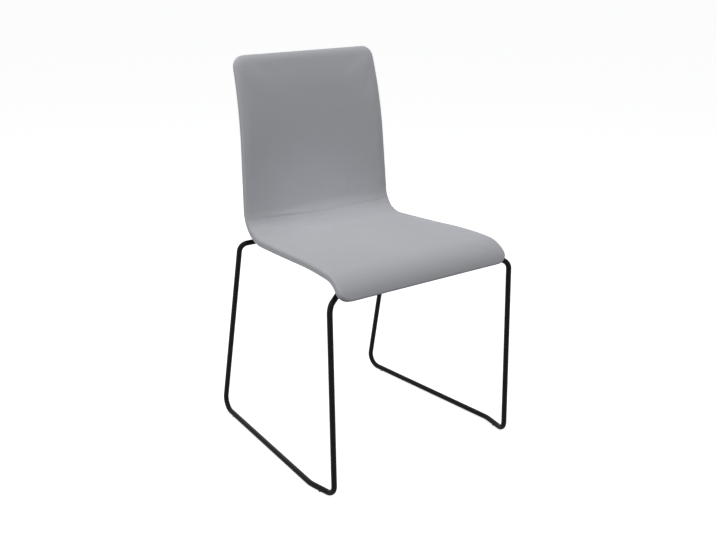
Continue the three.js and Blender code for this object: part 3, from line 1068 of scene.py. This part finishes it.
@dataclass
class Upholstery:
    """The padded covers on both sides of the plywood shell, with the seam round the edge."""

    shell: ShellForm
    cover_thickness: float = 0.001
    pad_thickness: float = 0.0049
    ply_thickness: float = 0.009
    lining_thickness: float = 0.0014
    roll_width: float = 0.022
    roll_depth: float = 0.0085
    roll: EdgeRoll = EdgeRoll(width_share=0.42, depth_share=0.72, front_share=0.45)
    rear_edge_radius: float = 0.006
    seam_from_rear: float = 0.0064
    seam_turn: float = 0.0011
    seam_turn_share: float = 0.3
    wall: float = 0.0022
    front_edge_steps: int = 9
    rear_edge_steps: int = 5
    front_grid: tuple[int, int] = (56, 156)
    rear_grid: tuple[int, int] = (48, 110)
    front_swelling: float = 0.0009
    rear_swelling: float = 0.0004
    smooth_angle: float = math.radians(60)
    hole_sides: int = 48
    fold_lines: tuple[FoldLine, ...] = (
        FoldLine(-0.15, (0.24, 0.384, 0.396, 0.416, 0.4195, 0.428, 0.432, 0.436, 0.442, 0.7),
                 (0.0, -0.0042, -0.0026, 0.0046, 0.0048, 0.0049, 0.0034, 0.0028, 0.0025, 0.0)),
        FoldLine(-0.08, (0.24, 0.382, 0.394, 0.413, 0.4165, 0.4245, 0.4285, 0.437, 0.442, 0.72),
                 (0.0, -0.0042, -0.0026, 0.0046, 0.0048, 0.005, 0.0028, 0.0041, 0.0041, 0.0)),
        FoldLine(0.0, (0.24, 0.38, 0.392, 0.411, 0.4145, 0.42, 0.4235, 0.44, 0.445, 0.72),
                 (0.0, -0.0042, -0.0026, 0.0046, 0.0048, 0.0049, 0.0036, 0.005, 0.005, 0.0)),
        FoldLine(0.08, (0.24, 0.378, 0.39, 0.4085, 0.412, 0.422, 0.4255, 0.44, 0.445, 0.72),
                 (0.0, -0.0042, -0.0026, 0.0045, 0.0047, 0.0049, 0.004, 0.005, 0.005, 0.0)),
        FoldLine(0.15, (0.24, 0.376, 0.388, 0.4065, 0.41, 0.422, 0.426, 0.434, 0.44, 0.7),
                 (0.0, -0.0042, -0.0026, 0.0043, 0.0045, 0.0048, 0.0034, 0.0034, 0.003, 0.0)),
    )
    fold_softness: float = 0.0008
    fold_softening_reach: int = 2
    fold_softening_steps: int = 9
    fold_fade: tuple[float, float] = (0.15, 0.195)
    fold_side_share: float = 0.3
    far_crease: Crease = Crease()
    crease_unevenness: float = 0.5
    broad_wave: Wave = Wave(16, 11, 3.0)
    fine_wave: Wave = Wave(45, 30, 9.0)
    fine_wave_share: float = 0.4
    wave_height: float = 0.00035
    pucker_wave: Wave = Wave(6, 105, 5.0)
    pucker_level_share: float = 0.75
    pucker_level_spread: float = 2.6
    pucker_start: float = 0.15
    bend_pucker_runs: tuple[float, float] = (0.31, 0.49)
    bend_pucker_height: float = 0.0009
    bend_pucker_reach: float = 0.0006
    seat_pucker_runs: tuple[float, float] = (0.06, 0.42)
    seat_pucker_height: float = 0.00035

    @property
    def shell_thickness(self) -> float:
        """The thickness of the whole upholstered shell."""
        layers = 2 * self.cover_thickness + self.pad_thickness + self.ply_thickness + self.lining_thickness
        return layers + 4 * TOUCH_GAP

    @property
    def ply_face(self) -> float:
        """The depth of the plywood's face."""
        return self.cover_thickness + self.pad_thickness + 2 * TOUCH_GAP

    @property
    def ply_rear(self) -> float:
        """The depth of the plywood's rear."""
        return self.ply_face + self.ply_thickness

    @staticmethod
    def rounded_edge(width: float, face: float, side: float, crown: float, steps: int) -> list[Level]:
        """Gives the levels that round an edge from a face to the side.

        Args:
            width: How far in from the outline the rounding starts.
            face: The face's depth.
            side: The depth at which the rounding meets the side.
            crown: The share of the crown that the levels follow.
            steps: How many steps the rounding has.

        Returns:
            The levels from the face to the side.
        """
        angles = [RIGHT_ANGLE * step / steps for step in range(steps + 1)]
        return [
            Level(width * (1 - math.sin(angle)), side + (face - side) * math.cos(angle), crown, rolls=True)
            for angle in angles]

    def build_front(self) -> Object:
        """Models the padded cover on the sitter's side.

        Returns:
            The finished piece.
        """
        seam = self.shell_thickness - self.seam_from_rear
        turn = self.seam_turn
        levels = [
            *self.rounded_edge(self.roll_width, 0, self.roll_depth, 1.0, self.front_edge_steps),
            Level(0, (self.roll_depth + seam - turn) / 2),
            Level(0, seam - turn),
            Level(turn * self.seam_turn_share, seam - turn * self.seam_turn_share),
            Level(turn, seam),
            Level(self.wall, seam),
            Level(self.wall, self.ply_face - TOUCH_GAP),
        ]
        part = PaddedPart(self.shell, levels, self.front_grid, self.front_swelling, self.roll)
        piece = part.build()
        self.crease(part, piece)
        part.lay_pattern(piece)
        return piece

    def build_rear(self) -> Object:
        """Models the padded cover on the rear side and under the seat.

        Returns:
            The finished piece, with holes for the spacers.
        """
        thickness = self.shell_thickness
        seam = thickness - self.seam_from_rear + TOUCH_GAP
        turn = self.seam_turn
        levels = [
            *self.rounded_edge(self.rear_edge_radius, thickness, seam + turn, 0.0, self.rear_edge_steps),
            Level(turn * self.seam_turn_share, seam + turn * self.seam_turn_share),
            Level(turn, seam),
            Level(self.wall, seam),
            Level(self.wall, self.ply_rear + TOUCH_GAP),
        ]
        part = PaddedPart(self.shell, levels, self.rear_grid, self.rear_swelling)
        piece = part.build()
        part.lay_pattern(piece)
        for side in Side:
            for end in End:
                low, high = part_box(f"spacer_{end.value}_{side.word}")
                radius = (high.x - low.x) / 2 + TOUCH_GAP
                drill(piece, radius, (low + high) / 2, high.z - low.z, self.hole_sides)
        return piece

    def crease(self, part: PaddedPart, piece: Object) -> None:
        """Presses the fold and the crease of the bend and the puckers of the side seam into the cloth.

        Args:
            part: The padded part that made the piece.
            piece: The piece with its laid places kept.
        """
        x, runs, level = part.kept(piece, "laid").T
        on_face = np.clip(1 - level / self.front_edge_steps, 0, 1)
        unrest = self.broad_wave.heights(x, runs) + self.fine_wave_share * self.fine_wave.heights(x, runs)
        depths = self.far_crease.depths(x, runs) * (1 + self.crease_unevenness * unrest)
        depths = on_face * (depths + self.wave_height * unrest)
        depths += np.clip(2 * on_face, 0, 1) * self.fold(x, runs)
        near_bend = self.shell.swell(runs, *self.bend_pucker_runs)
        along_seat = self.shell.swell(runs, *self.seat_pucker_runs)
        from_middle = (level - self.front_edge_steps * self.pucker_level_share) / self.pucker_level_spread
        on_edge = np.exp(-(from_middle**2)) * (np.abs(x) > self.pucker_start)
        pucker = on_edge * self.pucker_wave.heights(x, runs)
        depths += pucker * (self.bend_pucker_height * near_bend + self.seat_pucker_height * along_seat)
        points = mesh_points(piece.data) + self.shell.inwards(runs) * depths[:, None]
        points[:, 0] -= np.sign(x) * pucker * self.bend_pucker_reach * near_bend
        piece.data.vertices.foreach_set("co", points.ravel())
        piece.data.update()

    def fold(self, x: np.ndarray, runs: np.ndarray) -> np.ndarray:
        """Gives the depth of the face round the fold where the pads of the seat and the back meet.

        Args:
            x: Places across the shell.
            runs: Runs from the front edge.

        Returns:
            Depths, softened along the run.
        """
        lines = self.fold_lines
        places = [line.x for line in lines]
        knots = [np.interp(x, places, column) for column in zip(*(line.runs for line in lines))]
        heights = [np.interp(x, places, column) for column in zip(*(line.depths for line in lines))]
        total = np.zeros_like(runs)
        weights = 0.0
        reach = self.fold_softening_reach
        for shift in np.linspace(-reach, reach, self.fold_softening_steps):
            weight = math.exp(-shift**2)
            weights += weight
            for start, end, first, second in zip(knots, knots[1:], heights, heights[1:]):
                way = np.clip(runs + shift * self.fold_softness - start, 0, end - start)
                total += weight * (second - first) * way / (end - start)
        return np.interp(np.abs(x), self.fold_fade, (1.0, self.fold_side_share)) * total / weights

    def dress(self, wardrobe: Wardrobe) -> None:
        """Builds both covers and gives them their cloth.

        Args:
            wardrobe: The finishes.
        """
        front = self.build_front()
        wardrobe.dress_piece(front, "seat_and_back_upholstery", COVER_CLOTH,
                             ["front_cover", "seat_and_back_pad"], self.smooth_angle)
        rear = self.build_rear()
        wardrobe.dress_piece(rear, "rear_upholstery", COVER_CLOTH, ["rear_cover", "rear_lining"],
                             self.smooth_angle)
        wardrobe.dress_node("plywood_shell", PLYWOOD)


@dataclass
class SideFrame:
    """One bent rod: a leg at the front, a runner on the floor and a leg at the rear."""

    shell: ShellForm
    side: Side
    rod_radius: float = 0.006
    runner_stand: float = 0.001
    front_foot_half_span: float = 0.24
    toe_half_span: float = 0.2527
    rear_foot_half_span: float = 0.2201
    toe_length: float = 0.0701
    base_depth: float = 0.4935
    front_top_setback: float = 0.0108
    front_top_clearance: float = 0.0167
    rear_top_clearance: float = 0.0159
    front_top_drop: float = 0.0253
    inner_bend_lead: float = 0.02
    bends: tuple[float, ...] = (0.025, 0.02, 0.02, 0.06, 0.028, 0.017)
    rod_sides: int = 32
    bend_step: float = math.radians(6)
    pin_radius: float = 0.002
    pin_sides: int = 20

    @property
    def runner_height(self) -> float:
        """The height of the runner's centre line."""
        return self.runner_stand + self.rod_radius

    def corners(self) -> list[Vector]:
        """Gives the corners of the rod's centre line, from its front end to its rear end.

        Returns:
            The corners.
        """
        front_bar = node_middle("cross_bar_front")
        rear_bar = node_middle("cross_bar_rear")
        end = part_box("cross_bar_front")[1].x + TOUCH_GAP
        foot = front_bar.y - self.shell.front_bar_setback
        front_top = self.shell.front_half_width + self.front_top_clearance
        rear_top = self.shell.rear_half_width + self.rear_top_clearance
        places = [
            (end, front_bar.y, front_bar.z),
            (end - TOUCH_GAP + self.inner_bend_lead, front_bar.y, front_bar.z),
            (front_top, foot + self.front_top_setback, front_bar.z - self.front_top_drop),
            (self.front_foot_half_span, foot, self.runner_height),
            (self.toe_half_span, foot + self.toe_length, self.runner_height),
            (self.rear_foot_half_span, foot + self.base_depth, self.runner_height),
            (rear_top, rear_bar.y, rear_bar.z),
            (end, rear_bar.y, rear_bar.z),
        ]
        return [Vector((self.side.value * x, y, z)) for x, y, z in places]

    def build(self) -> Object:
        """Bends the rod: a ring is drawn out along each straight and spun round each bend.

        Returns:
            The finished rod, with the holes for the glides' pins.
        """
        corners = self.corners()
        first = corners[1] - corners[0]
        bpy.ops.mesh.primitive_circle_add(
            vertices=self.rod_sides, radius=self.rod_radius, fill_type="NOTHING", location=corners[0],
            rotation=UP.rotation_difference(first).to_euler())
        rod = bpy.context.active_object
        settle(rod)
        with editing(rod, picked=True):
            here = corners[0]
            for index, radius in enumerate(self.bends, start=1):
                here = self.bend(corners[index - 1:index + 2], radius, here)
            self.draw_out(corners[-1] - here)
            bpy.ops.mesh.select_all(action="SELECT")
            bpy.ops.mesh.fill_holes(sides=0)
        face_outwards(rod)
        for end in End:
            node = f"glide_{end.value}_{self.side.word}"
            bottom = node_middle(node)
            top = bottom.copy()
            bottom.z = -self.rod_radius
            top.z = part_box(node)[1].z + TOUCH_GAP
            cut(rod, round_bar(self.pin_radius + TOUCH_GAP, bottom, top, self.pin_sides))
        return rod

    @staticmethod
    def draw_out(step: Vector) -> None:
        """Draws the selected ring out along a straight."""
        bpy.ops.mesh.extrude_region_move(TRANSFORM_OT_translate={"value": step})

    def bend(self, corners: list[Vector], radius: float, here: Vector) -> Vector:
        """Draws the selected ring out to a bend and spins it round.

        Args:
            corners: The corner before the bend, the bend's own and the one after.
            radius: The bend's radius at the centre line.
            here: Where the ring is.

        Returns:
            Where the ring is after the bend.
        """
        before, corner, after = corners
        back = (before - corner).normalized()
        ahead = (after - corner).normalized()
        half = back.angle(ahead) / 2
        centre = corner + (back + ahead).normalized() * (radius / math.sin(half))
        lead = radius / math.tan(half)
        turn = math.pi - 2 * half
        self.draw_out(corner + back * lead - here)
        steps = max(2, round(turn / self.bend_step))
        axis = back.cross(ahead).normalized()
        bpy.ops.mesh.spin(steps=steps, dupli=False, angle=turn, center=centre, axis=axis)
        return corner + ahead * lead

    def dress(self, wardrobe: Wardrobe) -> None:
        """Builds the rod and coats it."""
        name = f"side_frame_{self.side.word}"
        wardrobe.dress_piece(self.build(), f"{name}_rod", POWDER_COAT, [name])


@dataclass
class SeatCarrier:
    """The cross bars and strips under the seat, with the welds that join them."""

    rod_radius: float = 0.006
    bar_sides: int = 32
    rim_bevel: float = 0.0005
    strip_bevel: float = 0.0006
    hole_radius: float = 0.0033
    hole_sides: int = 32
    bead_radius: float = 0.0013
    bead_sides: int = 12
    bead_ripples: int = 9
    ring_parts: tuple[int, int] = (64, 10)
    ring_ripple: float = 0.14
    ring_ripple_lean: float = 0.8
    line_ripple: float = 0.12
    line_cuts: int = 54
    line_end_power: int = 6
    line_end_share: float = 0.12

    def build_bar(self, node: str) -> Object:
        """Models a cross bar with bevelled ends.

        Args:
            node: The bar's node.

        Returns:
            The finished bar.
        """
        low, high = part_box(node)
        half = Vector(((high.x - low.x) / 2, 0, 0))
        middle = node_middle(node)
        bar = round_bar(self.rod_radius, middle - half, middle + half, self.bar_sides)
        bevel(bar, Element.FACE, lambda place, normal: abs(normal.x) > ALONG, self.rim_bevel, parts=2)
        face_outwards(bar)
        return bar

    def build_strip(self, side: Side) -> Object:
        """Models a flat strip with soft edges and two holes.

        Args:
            side: The strip's side.

        Returns:
            The finished strip.
        """
        low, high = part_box(f"mounting_strip_{side.word}")
        bpy.ops.mesh.primitive_cube_add(size=1, location=(low + high) / 2, scale=high - low)
        strip = bpy.context.active_object
        settle(strip)
        bevel(strip, Element.EDGE, lambda place, way: abs(way.y) > ALONG, self.strip_bevel, parts=3)
        for end in End:
            place = node_middle(f"shell_screw_{end.value}_{side.word}")
            place.z = (low.z + high.z) / 2
            drill(strip, self.hole_radius, place, high.z - low.z, self.hole_sides)
        face_outwards(strip)
        return strip

    def build_ring_weld(self, place: Vector) -> Object:
        """Models the rippled weld round a butt joint between a rod and a cross bar.

        Args:
            place: The middle of the joint.

        Returns:
            The finished weld.
        """
        around, across = self.ring_parts
        bpy.ops.mesh.primitive_torus_add(
            major_segments=around, minor_segments=across, major_radius=self.rod_radius - self.bead_radius / 3,
            minor_radius=self.bead_radius, location=place, rotation=(0, RIGHT_ANGLE, 0))
        weld = bpy.context.active_object
        settle(weld)
        for vertex in weld.data.vertices:
            spoke = vertex.co - place
            turns = 2 * self.bead_ripples * math.atan2(spoke.z, spoke.y)
            lean = self.ring_ripple_lean * spoke.x / self.bead_radius
            ripple = 1 + self.ring_ripple * math.sin(turns + lean)
            wide = math.hypot(spoke.y, spoke.z)
            grown = 1 + (1 - self.rod_radius / wide) * (ripple - 1) / 2
            vertex.co = place + Vector((spoke.x * ripple, spoke.y * grown, spoke.z * grown))
        face_outwards(weld)
        return weld

    def build_line_weld(self, start: Vector, end: Vector) -> Object:
        """Models a rippled weld along a strip's end.

        Args:
            start: One end of the weld.
            end: The other end.

        Returns:
            The finished weld.
        """
        weld = round_bar(self.bead_radius, start, end, self.bead_sides)
        with editing(weld):
            pick(weld, Element.EDGE, lambda place, direction: abs(direction.x) > ALONG)
            bpy.ops.mesh.subdivide(number_cuts=self.line_cuts)
        middle = (start + end) / 2
        half = (end - start).length / 2
        for vertex in weld.data.vertices:
            spoke = vertex.co - middle
            share = spoke.x / half
            ripple = 1 + self.line_ripple * math.sin(math.pi * self.bead_ripples * share)
            taper = max(1 - share**self.line_end_power, self.line_end_share) * ripple
            vertex.co = middle + Vector((spoke.x, spoke.y * taper, spoke.z * taper))
        face_outwards(weld)
        return weld

    def dress(self, wardrobe: Wardrobe) -> None:
        """Builds the bars, strips and welds, and coats them.

        Args:
            wardrobe: The finishes.
        """
        for end in End:
            node = f"cross_bar_{end.value}"
            wardrobe.dress_piece(self.build_bar(node), f"{node}_rod", POWDER_COAT, [node])
            for side in Side:
                joint = node_middle(node)
                joint.x = side.value * (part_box(node)[1].x + TOUCH_GAP / 2)
                ring = self.build_ring_weld(joint)
                wardrobe.dress_piece(ring, f"bar_weld_{end.value}_{side.word}", POWDER_COAT)
        for side in Side:
            node = f"mounting_strip_{side.word}"
            wardrobe.dress_piece(self.build_strip(side), f"{node}_plate", POWDER_COAT, [node])
            low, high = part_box(node)
            for end, y in ((End.FRONT, low.y), (End.REAR, high.y)):
                for word, z in (("lower", low.z), ("upper", high.z)):
                    weld = self.build_line_weld(Vector((low.x, y, z)), Vector((high.x, y, z)))
                    wardrobe.dress_piece(weld, f"strip_weld_{word}_{end.value}_{side.word}", POWDER_COAT)


@dataclass
class Fixing:
    """One of the four fixings of the shell: a screw, a spacer and a nut in the plywood."""

    shell: ShellForm
    side: Side
    end: End
    ply_rear: float
    head_radius: float = 0.00525
    head_height: float = 0.0033
    head_rim: float = 0.0011
    dome_shares: tuple[tuple[float, float], ...] = ((0.975, 0.3), (0.9, 0.6), (0.79, 0.86), (0.66, 1.0))
    screw_radius: float = 0.003
    socket_width: float = 0.004
    socket_depth: float = 0.002
    socket_part: float = math.radians(60)
    bore_radius: float = 0.0033
    bore_sides: int = 32
    rim_bevel: float = 0.0006
    sides: int = 36
    slope_places: int = 400

    @property
    def word(self) -> str:
        """The fixing's place in node names."""
        return f"{self.end.value}_{self.side.word}"

    def build_screw(self) -> Object:
        """Models the screw: a domed head with a hexagon socket, and a shank.

        Returns:
            The finished screw.
        """
        low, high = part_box(f"shell_screw_{self.word}")
        middle = (low + high) / 2
        seat = low.z + self.head_height
        rim = seat - self.head_rim
        start = Vector((middle.x, middle.y, seat))
        screw = round_bar(self.head_radius, start - UP * self.head_rim, start, self.sides)
        with editing(screw):
            pick(screw, Element.FACE, faces_down)
            for wide, down in self.dome_shares:
                height = rim - (self.head_height - self.head_rim) * down
                self.draw_ring(screw, middle, lambda angle: self.head_radius * wide, height)
            for depth in (0.0, self.socket_depth):
                self.draw_ring(screw, middle, self.socket_reach, low.z + depth)
            pick(screw, Element.FACE,
                 lambda place, normal: normal.z > ALONG and place.z > seat - MERGE_DISTANCE)
            for height in (seat, high.z):
                self.draw_ring(screw, middle, lambda angle: self.screw_radius, height)
        face_outwards(screw)
        return screw

    def socket_reach(self, angle: float) -> float:
        """Gives how far the hexagon socket reaches at an angle."""
        part = angle % self.socket_part - self.socket_part / 2
        return self.socket_width / 2 / math.cos(part)

    @staticmethod
    def draw_ring(piece: Object, middle: Vector, reach: Callable[[float], float], height: float) -> None:
        """Draws the selected face out to an outline round an upright axis.

        Args:
            piece: The piece in edit mode.
            middle: A point on the axis.
            reach: Takes an angle and gives the outline's distance from the axis.
            height: The outline's height.
        """
        bpy.ops.mesh.extrude_region_move()
        mesh = bmesh.from_edit_mesh(piece.data)
        for vertex in mesh.verts:
            if vertex.select:
                angle = math.atan2(vertex.co.y - middle.y, vertex.co.x - middle.x)
                away = reach(angle)
                vertex.co = (middle.x + away * math.cos(angle), middle.y + away * math.sin(angle), height)
        bmesh.update_edit_mesh(piece.data)

    def build_spacer(self) -> Object:
        """Models the spacer, whose top is cut to the plywood's slope.

        Returns:
            The finished spacer.
        """
        low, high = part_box(f"spacer_{self.word}")
        middle = (low + high) / 2
        radius = (high.x - low.x) / 2
        start = Vector((middle.x, middle.y, low.z))
        spacer = round_bar(radius, start, Vector((middle.x, middle.y, high.z + radius)), self.sides)
        slope_place, slope = self.slope_over(middle)
        bevel(spacer, Element.FACE, faces_down, self.rim_bevel, parts=2)
        with editing(spacer, picked=True):
            bpy.ops.mesh.bisect(plane_co=slope_place, plane_no=slope, use_fill=True, clear_outer=True)
        drill(spacer, self.bore_radius, middle, radius * 2, self.bore_sides)
        face_outwards(spacer)
        return spacer

    def slope_over(self, middle: Vector) -> tuple[Vector, Vector]:
        """Gives a place on the plywood's rear face over a point, and the direction into the plywood.

        Args:
            middle: The point under the seat.

        Returns:
            The place and the direction.
        """
        runs = np.linspace(self.shell.start_runs[1], self.shell.bend_start, self.slope_places)
        across = np.full_like(runs, middle.x)
        depths = np.full_like(runs, self.ply_rear + TOUCH_GAP)
        points = self.shell.points(across, runs, depths, np.zeros_like(runs))
        index = int(np.argmin(np.abs(points[:, 1] - middle.y)))
        return Vector(points[index]), -Vector(self.shell.inwards(runs[index:index + 1])[0])

    def dress(self, wardrobe: Wardrobe) -> None:
        """Builds the screw and the spacer, and finishes all three pieces.

        Args:
            wardrobe: The finishes.
        """
        screw = f"shell_screw_{self.word}"
        wardrobe.dress_piece(self.build_screw(), f"{screw}_button_head", BLACK_OXIDE, [screw])
        spacer = f"spacer_{self.word}"
        wardrobe.dress_piece(self.build_spacer(), f"{spacer}_ring", SPACER_PLASTIC, [spacer])
        wardrobe.dress_node(f"shell_nut_{self.word}", ZINC_PLATE)


@dataclass
class Glide:
    """A nylon glide under a runner, held by a pin in the rod."""

    side_frame: SideFrame
    end: End
    disc_height: float = 0.0026
    disc_sides: int = 36
    rim_bevel: float = 0.0007
    hollow_sides: int = 48

    @property
    def node(self) -> str:
        """The glide's node."""
        return f"glide_{self.end.value}_{self.side_frame.side.word}"

    def build(self) -> Object:
        """Models the glide: a disc hollowed to the rod's shape, and its pin.

        Returns:
            The finished glide.
        """
        rod = self.side_frame
        low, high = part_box(self.node)
        middle = Vector(((low.x + high.x) / 2, (low.y + high.y) / 2, 0))
        radius = (high.x - low.x) / 2
        glide = round_bar(radius, middle, middle + UP * self.disc_height, self.disc_sides)
        bevel(glide, Element.FACE, faces_down, self.rim_bevel, parts=3)
        reach = self.runner_direction() * radius * 2
        axis = middle + UP * rod.runner_height
        cut(glide, round_bar(rod.rod_radius + TOUCH_GAP, axis - reach, axis + reach, self.hollow_sides))
        bottom, top = (middle + UP * height for height in (rod.runner_stand / 2, high.z))
        cut(glide, round_bar(rod.pin_radius, bottom, top, rod.pin_sides), Cut.JOIN)
        face_outwards(glide)
        return glide

    def runner_direction(self) -> Vector:
        """Gives the direction of the rod over the glide, from the corners of its runner."""
        foot, toe, rear = self.side_frame.corners()[3:6]
        return (toe - foot if self.end is End.FRONT else rear - toe).normalized()

    def dress(self, wardrobe: Wardrobe) -> None:
        """Builds the glide and finishes it."""
        wardrobe.dress_piece(self.build(), f"{self.node}_foot", GLIDE_NYLON, [self.node])


def stand(name: str, data: bpy.types.ID, place: Vector, back: Vector) -> Object:
    """Stands a camera or a lamp in the scene.

    Args:
        name: Its name.
        data: The camera or the light.
        place: Where it stands.
        back: The direction that its back faces.

    Returns:
        The new object.
    """
    item = bpy.data.objects.new(name, data)
    item.location = place
    item.rotation_euler = back.to_track_quat("Z", "Y").to_euler()
    bpy.context.scene.collection.objects.link(item)
    return item


@dataclass
class PhotoCamera:
    """The camera, at the photograph's angle."""

    azimuth: float = math.radians(-36.33)
    elevation: float = math.radians(18.73)
    distance: float = 2.2292
    aim: Vector = field(default_factory=lambda: Vector((0.0, -0.002, 0.3806)))
    lens: float = 49.73
    sensor: float = 36.0
    shift: tuple[float, float] = (-0.0012, 0.0007)
    far_end: float = 100.0

    def build(self) -> None:
        """Adds the camera and makes it the scene's camera."""
        level = math.cos(self.elevation)
        back = Vector((
            math.sin(self.azimuth) * level, -math.cos(self.azimuth) * level, math.sin(self.elevation)))
        data = bpy.data.cameras.new("photo_camera")
        data.lens = self.lens
        data.sensor_fit = "HORIZONTAL"
        data.sensor_width = self.sensor
        data.shift_x, data.shift_y = self.shift
        data.clip_end = self.far_end
        bpy.context.scene.camera = stand("photo_camera", data, self.aim + back * self.distance, back)


@dataclass(frozen=True)
class SoftBox:
    """A square lamp: its place, its size, its power in watts, what it faces and its beam's angle."""

    name: str
    place: tuple[float, float, float]
    size: float
    power: float
    aim: tuple[float, float, float] = (0.0, 0.0, 0.5)
    beam: float = math.pi

    def build(self) -> None:
        """Adds the lamp."""
        data = bpy.data.lights.new(self.name, "AREA")
        data.shape = "SQUARE"
        data.size = self.size
        data.energy = self.power
        data.spread = self.beam
        place = Vector(self.place)
        lamp = stand(self.name, data, place, place - Vector(self.aim))
        lamp.visible_camera = False


@dataclass
class Studio:
    """A white floor, an even sky and soft boxes round the chair."""

    floor_half_size: float = 60.0
    floor_tone: float = 0.15
    shadow_share: float = 0.6
    floor_glow: float = 0.78
    sky_strength: float = 0.325
    sky_colour: tuple[float, float, float, float] = (0.98, 0.99, 1.0, 1.0)
    soft_boxes: tuple[SoftBox, ...] = (
        SoftBox("overhead_box", (0.0, 0.0, 2.1), 1.2, 10.0),
        SoftBox("left_box", (-2.42, -0.05, 1.87), 1.9, 32.0),
        SoftBox("right_box", (1.4, -0.2, 1.1), 1.0, 3.2),
        SoftBox("front_box", (0.0, -1.8, 0.9), 1.0, 2.8),
        SoftBox("rear_box", (0.3, 2.3, 1.2), 1.2, 16.0),
        SoftBox("bend_spot", (-0.1, -1.1, 1.5), 0.12, 0.042, (0.0, 0.11, 0.51), math.radians(21)),
    )

    def build(self) -> None:
        """Builds the floor, the sky and the lamps."""
        self.build_floor()
        self.build_sky()
        for box in self.soft_boxes:
            box.build()

    @staticmethod
    def split(sheet: ShaderSheet, lighting: Node, seen: Node) -> NodeSocket:
        """Gives one look to the light on the chair, and one to the camera, reflections and glass.

        Args:
            sheet: The sheet to add to.
            lighting: The shader that lights the chair.
            seen: The shader that is seen.

        Returns:
            The shader that joins both.
        """
        path = sheet.add("LightPath")
        mirrored = sheet.maths("MAXIMUM", path.outputs["Is Camera Ray"], path.outputs["Is Glossy Ray"])
        directly = sheet.maths("MAXIMUM", mirrored, path.outputs["Is Transmission Ray"])
        mix = sheet.add("MixShader", Fac=directly)
        sheet.feed(mix.inputs[1], lighting.outputs[0])
        sheet.feed(mix.inputs[2], seen.outputs[0])
        return mix.outputs[0]

    def build_floor(self) -> None:
        """Builds the floor, which looks white and keeps a light shadow."""
        bpy.ops.mesh.primitive_plane_add(size=2 * self.floor_half_size)
        floor = bpy.context.active_object
        floor.name = "floor"
        settle(floor)
        material = bpy.data.materials.new("white_floor")
        material.use_nodes = True
        sheet = ShaderSheet(material.node_tree)
        plain, shaded = (
            sheet.add("BsdfDiffuse", Color=(tone, tone, tone, 1.0))
            for tone in (self.floor_tone, self.shadow_share))
        seen = sheet.add("AddShader")
        sheet.feed(seen.inputs[0], shaded.outputs[0])
        sheet.feed(seen.inputs[1], sheet.add("Emission", Strength=self.floor_glow).outputs[0])
        sheet.add("OutputMaterial", Surface=self.split(sheet, plain, seen))
        floor.data.materials.append(material)

    def build_sky(self) -> None:
        """Builds the sky, which looks white and gives even light."""
        world = bpy.data.worlds.new("studio")
        world.use_nodes = True
        bpy.context.scene.world = world
        sheet = ShaderSheet(world.node_tree)
        light = sheet.add("Background", Color=self.sky_colour, Strength=self.sky_strength)
        white = sheet.add("Background", Color=(1.0, 1.0, 1.0, 1.0), Strength=1.0)
        sheet.add("OutputWorld", Surface=self.split(sheet, light, white))


def main() -> None:
    """Builds the chair's pieces in order, and then the studio."""
    logging.basicConfig(level=logging.INFO, format="%(message)s")
    take()
    bpy.context.scene.view_settings.view_transform = "Standard"
    PhotoCamera().build()
    wardrobe = Wardrobe()
    shell = ShellForm()
    upholstery = Upholstery(shell)
    upholstery.dress(wardrobe)
    side_frames = [SideFrame(shell, side) for side in Side]
    for side_frame in side_frames:
        side_frame.dress(wardrobe)
    SeatCarrier().dress(wardrobe)
    for side_frame in side_frames:
        for end in End:
            Fixing(shell, side_frame.side, end, upholstery.ply_rear).dress(wardrobe)
            Glide(side_frame, end).dress(wardrobe)
    Studio().build()


if __name__ == "__main__":
    main()
